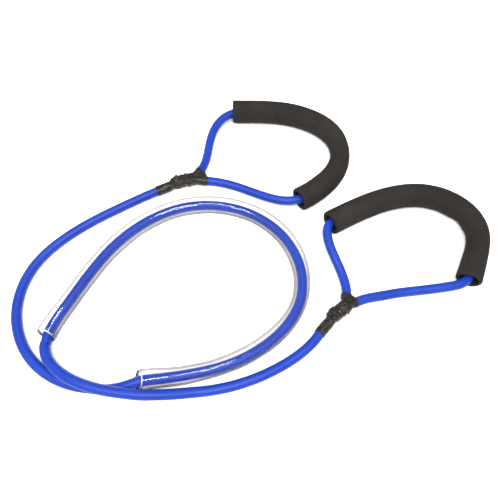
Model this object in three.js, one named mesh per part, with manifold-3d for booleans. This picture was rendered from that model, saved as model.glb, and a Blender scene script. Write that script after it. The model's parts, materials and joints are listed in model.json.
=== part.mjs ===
import * as THREE from 'three';
import { mergeVertices } from 'three/addons/utils/BufferGeometryUtils.js';
import Module from 'manifold-3d';

// Resistance band: one long elastic tube. Each end is turned back into a hand loop and bound
// to itself, each hand loop carries a foam grip, and a loose clear sleeve covers the middle.
// Units are millimetres, +Z is up from the surface that the band lies on.

const TUBE_D = 9.5;            // outer diameter of the elastic tube
const GRIP_D = 25.2;           // outer diameter of the foam grips
const GRIP_BORE_D = 18.0;      // the foam slides on with room round the tube
const SLEEVE_D = 18.0;         // clear sleeve, outside
const SLEEVE_BORE_D = 15.0;    // clear sleeve, inside
const TAPE_T = 0.5;            // wall of the wound tape
const TAPE_GAP = 0.3;         // between tape and tube
const LASH_D = 0.8;            // lashing cord under the tape
const LASH_TURNS = 4;
const LASH_HALF_W = 6.2;      // mid line of the lashing round the pair of tubes
const LASH_HALF_H = 5.2;
const WRAP_HALF_W = 7.3;      // outside of the tape over the lashing
const WRAP_HALF_H = 6.4;
const WRAP_POWER = 2.6;        // how square the pair of tubes is in section

const GAP = 0.3;               // between tube stretches that meet end to end

const TUBE_SIDES = 10;
const GRIP_SIDES = 16;
const SLEEVE_SIDES = 12;

// Centre lines, each point [x, y, z].
// The whole tube is one line: tail end A, hand loop A, binding A, round the left, under itself,
// through the sleeve, over itself, binding B, hand loop B, tail end B. It runs on a little past
// both cut ends.
const TUBE_LINE = [
  [-115.57, 53.86, 6.45], [-111.98, 55.63, 6.45], [-104.45, 58.17, 6.45], [-96.76, 60.29, 6.45], [-90.21, 64.63, 6.18],
  [-85.88, 71.28, 5.68], [-83.17, 78.77, 5.33], [-81.57, 86.59, 4.88], [-80.67, 94.52, 4.96], [-80.06, 102.47, 5.40],
  [-79.32, 110.40, 6.04], [-78.12, 118.25, 6.85], [-76.17, 125.94, 7.76], [-73.21, 133.29, 8.69], [-69.00, 140.00, 9.57],
  [-63.50, 145.72, 10.31], [-56.79, 149.98, 10.84], [-49.17, 152.26, 11.09], [-41.22, 153.04, 11.15], [-33.24, 153.36, 11.15],
  [-25.26, 153.59, 11.15], [-17.27, 153.69, 11.16], [-9.29, 153.57, 11.17], [-1.32, 153.14, 11.18], [6.63, 152.29, 11.19],
  [14.50, 150.95, 11.20], [22.24, 149.02, 11.21], [29.80, 146.44, 11.21], [37.07, 143.15, 11.21], [43.95, 139.09, 11.21],
  [50.25, 134.20, 11.20], [55.75, 128.42, 11.20], [60.16, 121.77, 11.19], [63.34, 114.46, 11.19], [65.29, 106.73, 11.19],
  [66.01, 98.78, 11.19], [65.47, 90.82, 11.20], [63.73, 83.03, 11.22], [60.94, 75.56, 11.23], [57.24, 68.48, 11.22],
  [52.78, 61.86, 11.18], [47.67, 55.73, 11.12], [42.05, 50.05, 11.09], [36.03, 44.81, 11.14], [29.49, 40.24, 11.15],
  [22.30, 36.80, 10.98], [14.58, 34.87, 10.50], [6.66, 34.77, 9.64], [-1.10, 36.26, 8.53], [-8.63, 38.65, 7.41],
  [-16.05, 41.45, 6.44], [-23.42, 44.43, 5.67], [-30.81, 47.42, 5.11], [-38.27, 50.24, 4.77], [-45.85, 52.73, 4.75],
  [-53.57, 54.78, 4.75], [-61.41, 56.31, 4.94], [-69.33, 57.19, 5.30], [-77.31, 57.36, 5.62], [-85.27, 56.81, 6.18],
  [-93.13, 55.53, 6.45], [-100.82, 53.43, 6.45], [-108.48, 51.16, 6.45], [-115.86, 48.14, 6.33], [-123.04, 44.65, 5.73],
  [-130.05, 40.85, 5.60], [-136.96, 36.85, 5.54], [-143.79, 32.73, 5.35], [-150.58, 28.52, 5.15], [-157.32, 24.24, 4.96],
  [-164.01, 19.88, 4.78], [-170.66, 15.45, 4.75], [-177.24, 10.93, 4.75], [-183.74, 6.29, 4.75], [-190.15, 1.52, 4.75],
  [-196.43, -3.41, 4.75], [-202.57, -8.52, 4.75], [-208.53, -13.83, 4.75], [-214.28, -19.37, 4.75], [-219.78, -25.16, 4.75],
  [-224.99, -31.22, 4.75], [-229.81, -37.59, 4.75], [-234.13, -44.30, 4.75], [-237.84, -51.37, 4.75], [-240.82, -58.77, 4.75],
  [-243.03, -66.44, 4.75], [-244.46, -74.30, 4.75], [-245.09, -82.25, 4.75], [-244.92, -90.24, 4.75], [-243.93, -98.16, 4.75],
  [-242.16, -105.94, 4.75], [-239.63, -113.51, 4.75], [-236.38, -120.80, 4.75], [-232.44, -127.75, 4.75], [-227.85, -134.28, 4.75],
  [-222.64, -140.32, 4.75], [-216.84, -145.82, 4.75], [-210.53, -150.70, 4.75], [-203.76, -154.93, 4.75], [-196.62, -158.51, 4.75],
  [-189.18, -161.42, 4.75], [-181.52, -163.65, 4.75], [-173.69, -165.20, 4.75], [-165.75, -166.05, 4.75], [-157.77, -166.18, 4.75],
  [-149.81, -165.56, 4.81], [-141.94, -164.24, 5.05], [-134.18, -162.41, 5.51], [-126.50, -160.33, 6.19], [-118.84, -158.22, 6.98],
  [-111.10, -156.25, 7.20], [-103.32, -154.47, 7.20], [-95.50, -152.84, 7.20], [-87.67, -151.28, 7.20], [-79.83, -149.74, 7.20],
  [-72.00, -148.15, 7.20], [-64.21, -146.40, 7.20], [-56.48, -144.41, 7.20], [-48.84, -142.07, 7.20], [-41.35, -139.29, 7.20],
  [-34.05, -136.07, 7.20], [-26.95, -132.41, 7.20], [-20.08, -128.33, 7.20], [-13.47, -123.86, 7.20], [-7.13, -119.01, 7.20],
  [-1.12, -113.75, 7.20], [4.51, -108.09, 7.20], [9.69, -102.01, 7.20], [14.30, -95.50, 7.20], [18.26, -88.56, 7.20],
  [21.42, -81.23, 7.20], [23.66, -73.57, 7.20], [24.93, -65.69, 7.20], [25.27, -57.72, 7.20], [24.74, -49.75, 7.20],
  [23.41, -41.88, 7.20], [21.32, -34.18, 7.20], [18.50, -26.71, 7.20], [14.98, -19.54, 7.20], [10.80, -12.74, 7.20],
  [5.97, -6.38, 7.20], [0.55, -0.52, 7.20], [-5.39, 4.82, 7.20], [-11.79, 9.59, 7.20], [-18.57, 13.79, 7.20],
  [-25.70, 17.40, 7.20], [-33.09, 20.42, 7.20], [-40.70, 22.82, 7.20], [-48.49, 24.59, 7.20], [-56.39, 25.73, 7.20],
  [-64.36, 26.23, 7.20], [-72.34, 26.12, 7.20], [-80.30, 25.41, 7.20], [-88.18, 24.13, 7.20], [-95.95, 22.28, 7.20],
  [-103.56, 19.89, 7.20], [-111.00, 16.97, 7.20], [-118.21, 13.54, 7.20], [-125.15, 9.60, 7.20], [-131.82, 5.21, 7.20],
  [-138.19, 0.39, 7.20], [-144.25, -4.81, 7.20], [-149.99, -10.36, 7.20], [-155.41, -16.22, 7.20], [-160.52, -22.36, 7.20],
  [-165.29, -28.76, 7.20], [-169.75, -35.39, 7.20], [-173.90, -42.21, 7.20], [-177.80, -49.18, 7.20], [-181.51, -56.25, 7.20],
  [-185.09, -63.39, 7.20], [-188.59, -70.57, 7.20], [-192.06, -77.77, 7.20], [-195.53, -84.96, 7.20], [-199.04, -92.13, 7.20],
  [-202.55, -99.30, 7.20], [-205.72, -106.64, 7.20], [-208.02, -114.27, 7.20], [-209.03, -122.18, 7.38], [-208.34, -130.08, 8.17],
  [-205.79, -137.55, 9.23], [-201.54, -144.17, 10.50], [-195.96, -149.72, 11.80], [-189.55, -154.33, 12.94], [-182.64, -158.23, 13.81],
  [-175.37, -161.48, 14.36], [-167.84, -164.12, 14.63], [-160.13, -166.20, 14.68], [-152.30, -167.79, 14.58], [-144.40, -168.95, 14.41],
  [-136.46, -169.76, 14.25], [-128.49, -170.29, 14.12], [-120.52, -170.82, 13.93], [-112.56, -170.86, 13.52], [-104.64, -170.26, 12.65],
  [-96.81, -169.55, 11.25], [-89.09, -168.56, 9.46], [-81.41, -167.34, 7.65], [-73.66, -166.05, 6.22], [-65.82, -164.81, 5.34],
  [-58.00, -163.49, 4.75], [-50.18, -161.89, 4.75], [-42.43, -159.95, 4.75], [-34.77, -157.68, 4.75], [-27.22, -155.09, 4.75],
  [-19.79, -152.17, 4.75], [-12.48, -148.93, 4.75], [-5.33, -145.39, 4.75], [1.68, -141.56, 4.75], [8.53, -137.45, 4.75],
  [15.18, -133.04, 4.83], [21.61, -128.30, 5.02], [27.73, -123.17, 5.21], [33.46, -117.62, 5.41], [38.66, -111.57, 5.58],
  [43.23, -105.04, 5.60], [48.19, -98.79, 5.89], [53.89, -93.21, 6.42], [60.22, -88.35, 6.45], [66.49, -83.38, 6.45],
  [73.15, -79.03, 6.33], [80.15, -75.21, 5.60], [87.37, -71.81, 5.32], [94.76, -68.82, 4.94], [102.31, -66.23, 4.75],
  [109.98, -64.02, 4.75], [117.74, -62.16, 4.75], [125.58, -60.62, 4.75], [133.44, -59.34, 5.22], [141.31, -58.21, 5.95],
  [149.17, -57.15, 6.90], [157.00, -56.05, 8.04], [164.81, -54.84, 9.19], [172.61, -53.38, 10.10], [180.23, -51.10, 10.67],
  [186.79, -46.67, 10.96], [191.16, -40.03, 11.06], [194.21, -32.65, 11.08], [197.08, -25.19, 11.12], [199.99, -17.76, 11.17],
  [202.71, -10.25, 11.20], [204.69, -2.52, 11.20], [205.23, 5.44, 11.20], [204.09, 13.33, 11.20], [201.30, 20.79, 11.19],
  [197.02, 27.52, 11.20], [191.58, 33.35, 11.20], [185.26, 38.22, 11.21], [178.28, 42.09, 11.21], [170.83, 44.95, 11.20],
  [163.07, 46.84, 11.20], [155.15, 47.81, 11.19], [147.17, 47.95, 11.19], [139.21, 47.30, 11.19], [131.34, 45.95, 11.20],
  [123.61, 43.98, 11.20], [116.02, 41.49, 11.21], [108.59, 38.56, 11.21], [101.31, 35.29, 11.21], [94.15, 31.74, 11.20],
  [87.10, 27.98, 11.18], [80.13, 24.08, 11.15], [73.17, 20.18, 11.12], [66.08, 16.50, 11.09], [59.03, 12.75, 11.05],
  [53.32, 7.26, 10.95], [50.98, -0.28, 10.74], [51.57, -8.21, 10.35], [53.57, -15.91, 9.64], [56.36, -23.32, 8.63],
  [59.53, -30.55, 7.45], [62.74, -37.77, 6.28], [65.64, -45.14, 5.33], [67.87, -52.79, 4.94], [69.01, -60.68, 5.36],
  [68.53, -68.61, 5.86], [65.86, -76.36, 6.44], [60.04, -81.56, 6.45], [53.61, -86.26, 6.45], [50.25, -88.42, 6.45],
];
const SLEEVE = [
  [-115.84, -157.43, 9.00], [-103.19, -154.45, 9.00], [-90.46, -151.83, 9.00], [-77.71, -149.32, 9.00], [-65.01, -146.59, 9.00],
  [-52.46, -143.23, 9.00], [-40.24, -138.83, 9.00], [-28.51, -133.26, 9.00], [-17.37, -126.57, 9.00], [-6.93, -118.84, 9.00],
  [2.64, -110.07, 9.00], [11.07, -100.19, 9.00], [17.94, -89.18, 9.00], [22.75, -77.13, 9.00], [25.05, -64.36, 9.00],
  [24.91, -51.38, 9.00], [22.62, -38.61, 9.00], [18.34, -26.35, 9.00], [12.23, -14.90, 9.00], [4.39, -4.55, 9.00],
  [-4.95, 4.46, 9.00], [-15.52, 12.00, 9.00], [-27.04, 18.00, 9.00], [-39.25, 22.41, 9.00], [-51.94, 25.17, 9.00],
  [-64.88, 26.24, 9.00], [-77.85, 25.69, 9.00], [-90.67, 23.60, 9.00], [-103.16, 20.03, 9.00], [-115.16, 15.06, 9.00],
  [-126.51, 8.76, 9.00], [-137.11, 1.25, 9.00], [-146.89, -7.29, 9.00], [-155.84, -16.71, 9.00], [-163.93, -26.87, 9.00],
  [-171.17, -37.66, 9.00], [-177.66, -48.91, 9.00], [-183.63, -60.45, 9.00], [-189.34, -72.13, 9.00], [-194.98, -83.83, 9.00],
  [-200.71, -95.50, 9.00], [-205.99, -107.36, 9.00], [-208.90, -119.99, 9.00],
];
const GRIP_A = [
  [-55.74, 151.75, 12.60], [-42.89, 152.58, 12.60], [-30.04, 153.39, 12.60], [-17.17, 153.81, 12.60], [-4.29, 153.51, 12.60],
  [8.50, 152.12, 12.60], [21.07, 149.34, 12.60], [33.16, 144.94, 12.60], [44.42, 138.73, 12.60], [54.22, 130.42, 12.60],
  [61.39, 119.78, 12.60], [65.26, 107.54, 12.60], [65.87, 94.72, 12.60], [63.50, 82.09, 12.60], [58.43, 70.28, 12.60],
  [51.13, 59.69, 12.60], [42.30, 50.33, 12.60], [32.41, 42.09, 12.60], [21.69, 34.97, 12.60],
];
const GRIP_B = [
  [53.68, 8.12, 12.60], [64.36, 14.77, 12.60], [75.11, 21.29, 12.60], [86.04, 27.53, 12.60], [97.20, 33.33, 12.60],
  [108.65, 38.53, 12.60], [120.44, 42.91, 12.60], [132.59, 46.18, 12.60], [145.03, 47.95, 12.60], [157.59, 47.81, 12.60],
  [169.90, 45.35, 12.60], [181.46, 40.44, 12.60], [191.72, 33.21, 12.60], [199.86, 23.67, 12.60], [204.59, 12.08, 12.60],
  [204.94, -0.42, 12.60], [201.96, -12.62, 12.60], [197.53, -24.40, 12.60], [192.70, -36.01, 12.60], [187.81, -47.60, 12.60],
];
// Mid line between the two tubes inside each binding, from just past the tail end to the fork.
const PAIR_A = [
  [-113.00, 52.26, 6.45], [-110.96, 53.10, 6.45], [-109.12, 53.87, 6.45], [-107.22, 54.46, 6.45], [-105.79, 54.91, 6.45],
  [-103.87, 55.46, 6.45], [-101.94, 55.98, 6.45], [-100.00, 56.49, 6.45], [-98.07, 57.01, 6.45], [-96.16, 57.58, 6.45],
  [-94.28, 58.22, 6.44], [-92.45, 58.94, 6.41],
];
const PAIR_B = [
  [53.51, -89.69, 6.45], [55.32, -88.44, 6.45], [56.97, -87.32, 6.45], [58.57, -86.13, 6.45], [60.17, -84.93, 6.45],
  [61.76, -83.71, 6.45], [63.32, -82.46, 6.45], [64.83, -81.16, 6.45], [66.32, -79.86, 6.45], [67.36, -78.84, 6.44],
  [68.23, -77.62, 6.42],
];

// How the tubes are squeezed in a binding: [distance, half width, half height],
// for the main tube from the end of the tape, and for the tail from its cut end.
const SQUEEZE_MAIN_A = [[0, 4.75, 4.75], [3, 4.75, 4.75], [6, 4.75, 4.75], [9, 4.75, 4.75], [12, 4.75, 4.75], [15, 4.65, 4.73], [18, 3.47, 4.49], [21, 2.67, 4.33], [24, 2.54, 4.31], [27, 2.53, 4.31], [30, 2.55, 4.31], [33, 2.54, 4.31], [36, 2.54, 4.31], [39, 2.56, 4.31], [42, 2.83, 4.37], [45, 3.38, 4.48], [48, 4.14, 4.63], [51, 4.75, 4.75], [54, 4.75, 4.75], [57, 4.75, 4.75], [60, 4.75, 4.75], [63, 4.75, 4.75], [66, 4.75, 4.75], [69, 4.75, 4.75]];
const SQUEEZE_TAIL_A = [[0, 2.5, 4.3], [3, 2.57, 4.31], [6, 2.55, 4.31], [9, 2.54, 4.31], [12, 2.54, 4.31], [15, 2.54, 4.31], [18, 2.67, 4.33], [21, 3.18, 4.44], [24, 4, 4.6], [27, 4.75, 4.75], [30, 4.75, 4.75], [33, 4.75, 4.75], [36, 4.75, 4.75], [39, 4.75, 4.75], [42, 4.75, 4.75], [45, 4.75, 4.75], [48, 4.75, 4.75], [51, 4.75, 4.75], [54, 4.75, 4.75], [57, 4.75, 4.75], [60, 4.75, 4.75], [63, 4.75, 4.75], [66, 4.75, 4.75], [69, 4.75, 4.75]];
const SQUEEZE_MAIN_B = [[0, 4.75, 4.75], [3, 4.75, 4.75], [6, 4.75, 4.75], [9, 4.75, 4.75], [12, 4.75, 4.75], [15, 4.75, 4.75], [18, 3.57, 4.51], [21, 2.72, 4.34], [24, 2.53, 4.31], [27, 2.55, 4.31], [30, 2.53, 4.31], [33, 2.55, 4.31], [36, 2.51, 4.3], [39, 2.65, 4.33], [42, 3.38, 4.48], [45, 4.25, 4.65], [48, 4.75, 4.75], [51, 4.75, 4.75], [54, 4.75, 4.75], [57, 4.75, 4.75], [60, 4.75, 4.75], [63, 4.75, 4.75], [66, 4.75, 4.75], [69, 4.75, 4.75]];
const SQUEEZE_TAIL_B = [[0, 2.55, 4.31], [3, 2.53, 4.31], [6, 2.54, 4.31], [9, 2.54, 4.31], [12, 2.55, 4.31], [15, 2.54, 4.31], [18, 3.29, 4.46], [21, 4.38, 4.68], [24, 4.75, 4.75], [27, 4.75, 4.75], [30, 4.75, 4.75], [33, 4.75, 4.75], [36, 4.75, 4.75], [39, 4.75, 4.75], [42, 4.75, 4.75], [45, 4.75, 4.75], [48, 4.75, 4.75], [51, 4.75, 4.75], [54, 4.75, 4.75], [57, 4.75, 4.75], [60, 4.75, 4.75], [63, 4.75, 4.75], [66, 4.75, 4.75], [69, 4.75, 4.75]];
// Distances along the tube line.
const TAIL_A = 4.40;        // cut end of the tail in binding A
const TAPE_A = 515.75;      // end of the tape on the main tube, binding A
const TAPE_B = 1710.15;
const TAIL_B = 2215.86;
const LEAD = 6;            // tube that stays straight behind each tape end
const LIFT_AT = 66;        // behind the tape end: where the tube starts to bend upwards
const SWING_AT = 102;      // and where it starts to bend sideways
const WRAP_A_LEAD_END = 57;   // tape on the leg that carries on from the main tube
const WRAP_A_TAIL_END = 33.5;   // tape on the leg that ends in the tail
const WRAP_B_LEAD_END = 49;
const WRAP_B_TAIL_END = 26;

const wasm = await Module();
wasm.setup();

const lineOf = (points) => new THREE.CatmullRomCurve3(points.map((p) => new THREE.Vector3(...p)), false, 'centripetal');

function ring(radius, sides) {
  const pts = [];
  for (let i = 0; i < sides; i++) {
    const a = (2 * Math.PI * i) / sides;
    pts.push(new THREE.Vector2(radius * Math.cos(a), radius * Math.sin(a)));
  }
  return pts;
}

function lookUp(table, s) {
  if (s <= table[0][0]) return [table[0][1], table[0][2]];
  for (let i = 1; i < table.length; i++) {
    if (s <= table[i][0]) {
      const t = (s - table[i - 1][0]) / (table[i][0] - table[i - 1][0]);
      return [1, 2].map((k) => table[i - 1][k] + t * (table[i][k] - table[i - 1][k]));
    }
  }
  const last = table[table.length - 1];
  return [last[1], last[2]];
}

function clean(geometry) {
  geometry.deleteAttribute('normal');
  geometry.deleteAttribute('uv');
  const g = mergeVertices(geometry, 1e-4);
  g.computeVertexNormals();
  return g;
}

// Part of a line between two distances from its start.
class Span extends THREE.Curve {
  constructor(line, from, to) {
    super();
    this.line = line;
    this.total = line.getLength();
    this.from = from;
    this.to = to;
  }
  getPoint(t, target = new THREE.Vector3()) {
    const s = this.from + (this.to - this.from) * t;
    return this.line.getPointAt(Math.min(1, Math.max(0, s / this.total)), target);
  }
}

// Round or hollow section along a centre line.
function sweep(curve, steps, radius, sides, bore = 0) {
  const shape = new THREE.Shape(ring(radius, sides));
  if (bore > 0) shape.holes.push(new THREE.Path(ring(bore, sides).reverse()));
  return clean(new THREE.ExtrudeGeometry(shape, { steps, extrudePath: curve, bevelEnabled: false }));
}

// How far out a squarer oval of power n reaches in the direction (a, b), next to a plain oval.
const boxy = (a, b, n) => Math.hypot(a, b) / (Math.abs(a) ** n + Math.abs(b) ** n) ** (1 / n);

// Section whose half width and half height change along the line: size(t) gives both in mm.
function sweepShaped(curve, steps, sides, size) {
  const g = new THREE.ExtrudeGeometry(new THREE.Shape(ring(1, sides)), { steps, extrudePath: curve, bevelEnabled: false });
  const stations = curve.getSpacedPoints(steps);
  const pos = g.attributes.position;
  const v = new THREE.Vector3(), up = new THREE.Vector3(), side = new THREE.Vector3(), t = new THREE.Vector3();
  for (let i = 0; i < pos.count; i++) {
    v.fromBufferAttribute(pos, i);
    let k = 0, best = Infinity;
    stations.forEach((p, j) => { const d = p.distanceToSquared(v); if (d < best) { best = d; k = j; } });
    t.copy(curve.getTangentAt(k / steps));
    up.set(0, 0, 1).addScaledVector(t, -t.z).normalize();
    side.crossVectors(up, t);
    const [w, h, n = 2] = size(k / steps);
    v.sub(stations[k]);
    let a = v.dot(side), b = v.dot(up);
    const f = boxy(a, b, n);
    a *= w * f;
    b *= h * f;
    v.copy(stations[k]).addScaledVector(side, a).addScaledVector(up, b);
    pos.setXYZ(i, v.x, v.y, v.z);
  }
  return clean(g);
}

function solid(geometry) {
  const g = geometry.index ? geometry : clean(geometry);
  return new wasm.Manifold(new wasm.Mesh({
    numProp: 3,
    vertProperties: new Float32Array(g.attributes.position.array),
    triVerts: new Uint32Array(g.index.array),
  }));
}

function fromSolid(m) {
  const mesh = m.getMesh();
  const g = new THREE.BufferGeometry();
  const v = new Float32Array((mesh.vertProperties.length / mesh.numProp) * 3);
  for (let i = 0, n = v.length / 3; i < n; i++) for (let k = 0; k < 3; k++) v[3 * i + k] = mesh.vertProperties[i * mesh.numProp + k];
  g.setAttribute('position', new THREE.BufferAttribute(v, 3));
  g.setIndex(new THREE.BufferAttribute(new Uint32Array(mesh.triVerts), 1));
  g.computeVertexNormals();
  return g;
}

const tubeLine = lineOf(TUBE_LINE);
tubeLine.arcLengthDivisions = 8000;
const tube = (from, to) => new Span(tubeLine, from, to);

// The two ends are built alike: at(s) is the distance along the line of a point s mm from the end of
// the tape towards the hand loop, and tail(s) of a point s mm from the tail's cut end.
const ENDS = {
  a: { at: (s) => TAPE_A - s, tail: (s) => TAIL_A + s, pair: PAIR_A, squeezeMain: SQUEEZE_MAIN_A, squeezeTail: SQUEEZE_TAIL_A, leadTape: WRAP_A_LEAD_END, tailTape: WRAP_A_TAIL_END, grip: GRIP_A },
  b: { at: (s) => TAPE_B + s, tail: (s) => TAIL_B - s, pair: PAIR_B, squeezeMain: SQUEEZE_MAIN_B, squeezeTail: SQUEEZE_TAIL_B, leadTape: WRAP_B_LEAD_END, tailTape: WRAP_B_TAIL_END, grip: GRIP_B },
};

// The tube of one hand loop: out of the flexing stretch, squeezed through the binding, round the
// loop, and back into the binding, where it ends.
function loopTube({ at, tail, squeezeMain, squeezeTail }) {
  const s0 = at(-LEAD) , s1 = tail(0), sign = Math.sign(s1 - s0), a = s0 + sign * GAP / 2, length = Math.abs(s1 - a);
  return sweepShaped(tube(a, s1), 104, TUBE_SIDES, (t) => {
    const s = t * length;
    const m = lookUp(squeezeMain, s - LEAD + GAP / 2), r = lookUp(squeezeTail, length - s);
    return [Math.min(m[0], r[0]), Math.min(m[1], r[1])];
  });
}

// The lashing: a thin cord wound round both tubes.
function lashing(pair, from, to) {
  const curve = lineOf(pair), length = curve.getLength();
  const perTurn = 14, n = LASH_TURNS * perTurn;
  const pts = [];
  for (let i = 0; i <= n; i++) {
    const u = (from + ((to - from) * i) / n) / length;
    const c = curve.getPointAt(u), t = curve.getTangentAt(u);
    const up = new THREE.Vector3(0, 0, 1).addScaledVector(t, -t.z).normalize();
    const side = new THREE.Vector3().crossVectors(up, t);
    const a = (2 * Math.PI * i) / perTurn, f = boxy(Math.cos(a), Math.sin(a), WRAP_POWER);
    pts.push(c.addScaledVector(side, LASH_HALF_W * Math.cos(a) * f).addScaledVector(up, LASH_HALF_H * Math.sin(a) * f).toArray());
  }
  return sweep(lineOf(pts), n, LASH_D / 2, 5);
}

// The tape: one skin over the single tube, over the lashed pair and a little way up both legs.
function tapeWrap({ at, tail, pair, squeezeMain, squeezeTail, leadTape, tailTape }, from, to) {
  const pairLine = lineOf(pair), pairLength = pairLine.getLength();
  const grown = (table, s, d) => lookUp(table, s).map((x) => x + d);
  const along = (place, table, s0, s1, steps, sides, d) =>
    sweepShaped(tube(place(s0), place(s1)), steps, sides, (t) => grown(table, s0 + (s1 - s0) * t, d));
  const out = TAPE_GAP + TAPE_T, inside = TAPE_GAP + 0.3;
  const mainOut = along(at, squeezeMain, 0, leadTape, 12, 14, out);
  const tailOut = along(tail, squeezeTail, -1.2, tailTape, 8, 14, out);
  const wrapFrom = 0.4, wrapTo = pairLength - 0.6;
  const wrap = sweepShaped(new Span(pairLine, wrapFrom, wrapTo), 6, 16, (t) => {
    const e = Math.min(1, Math.min(t, 1 - t) * 6);
    return [WRAP_HALF_W - 0.7 * (1 - e), WRAP_HALF_H - 0.7 * (1 - e), WRAP_POWER];
  });
  const mainIn = along(at, squeezeMain, -3, leadTape + 3, 20, 12, inside);
  const tailIn = along(tail, squeezeTail, -0.3, tailTape + 3, 13, 12, inside);
  const room = sweepShaped(new Span(pairLine, from - 0.9, to + 0.9), 5, 16, () => [WRAP_HALF_W - TAPE_T, WRAP_HALF_H - TAPE_T, WRAP_POWER]);
  return fromSolid(solid(mainOut).add(solid(tailOut)).add(solid(wrap)).subtract(solid(mainIn)).subtract(solid(tailIn)).subtract(solid(room)));
}

const blueTube = () => new THREE.MeshStandardMaterial({ color: 0x2a46d6, roughness: 0.38, metalness: 0 });
const foam = () => new THREE.MeshStandardMaterial({ color: 0x2b2927, roughness: 0.95, metalness: 0 });
const tape = () => new THREE.MeshStandardMaterial({ color: 0x35322d, roughness: 0.6, metalness: 0 });
const cord = () => new THREE.MeshStandardMaterial({ color: 0x1c1b1a, roughness: 0.85, metalness: 0 });
const clear = () => new THREE.MeshStandardMaterial({ color: 0xe8ecf4, roughness: 0.08, metalness: 0, transparent: true, opacity: 0.35 });

const group = new THREE.Group();
function add(name, geometry, material) {
  const mesh = new THREE.Mesh(geometry, material);
  mesh.name = name;
  group.add(mesh);
}

add('tube_main_run', sweep(tube(TAPE_A + SWING_AT + GAP / 2, TAPE_B - SWING_AT - GAP / 2), 76, TUBE_D / 2, TUBE_SIDES), blueTube());
for (const [end, e] of Object.entries(ENDS)) {
  const pairLength = lineOf(e.pair).getLength();
  const from = 4.4, to = pairLength - 4.4;
  add(`tube_swing_${end}`, sweep(tube(e.at(-SWING_AT + GAP / 2), e.at(-LIFT_AT - GAP / 2)), 3, TUBE_D / 2, TUBE_SIDES), blueTube());
  add(`tube_lift_${end}`, sweep(tube(e.at(-LIFT_AT + GAP / 2), e.at(-LEAD - GAP / 2)), 5, TUBE_D / 2, TUBE_SIDES), blueTube());
  add(`handle_loop_${end}`, loopTube(e), blueTube());
  add(`lashing_${end}`, lashing(e.pair, from, to), cord());
  add(`tape_${end}`, tapeWrap(e, from, to), tape());
  add(`foam_grip_${end}`, sweep(lineOf(e.grip), 18, GRIP_D / 2, GRIP_SIDES, GRIP_BORE_D / 2), foam());
}
add('clear_sleeve', sweep(lineOf(SLEEVE), 40, SLEEVE_D / 2, SLEEVE_SIDES, SLEEVE_BORE_D / 2), clear());

export default group;
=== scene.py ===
import json
import math

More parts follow.
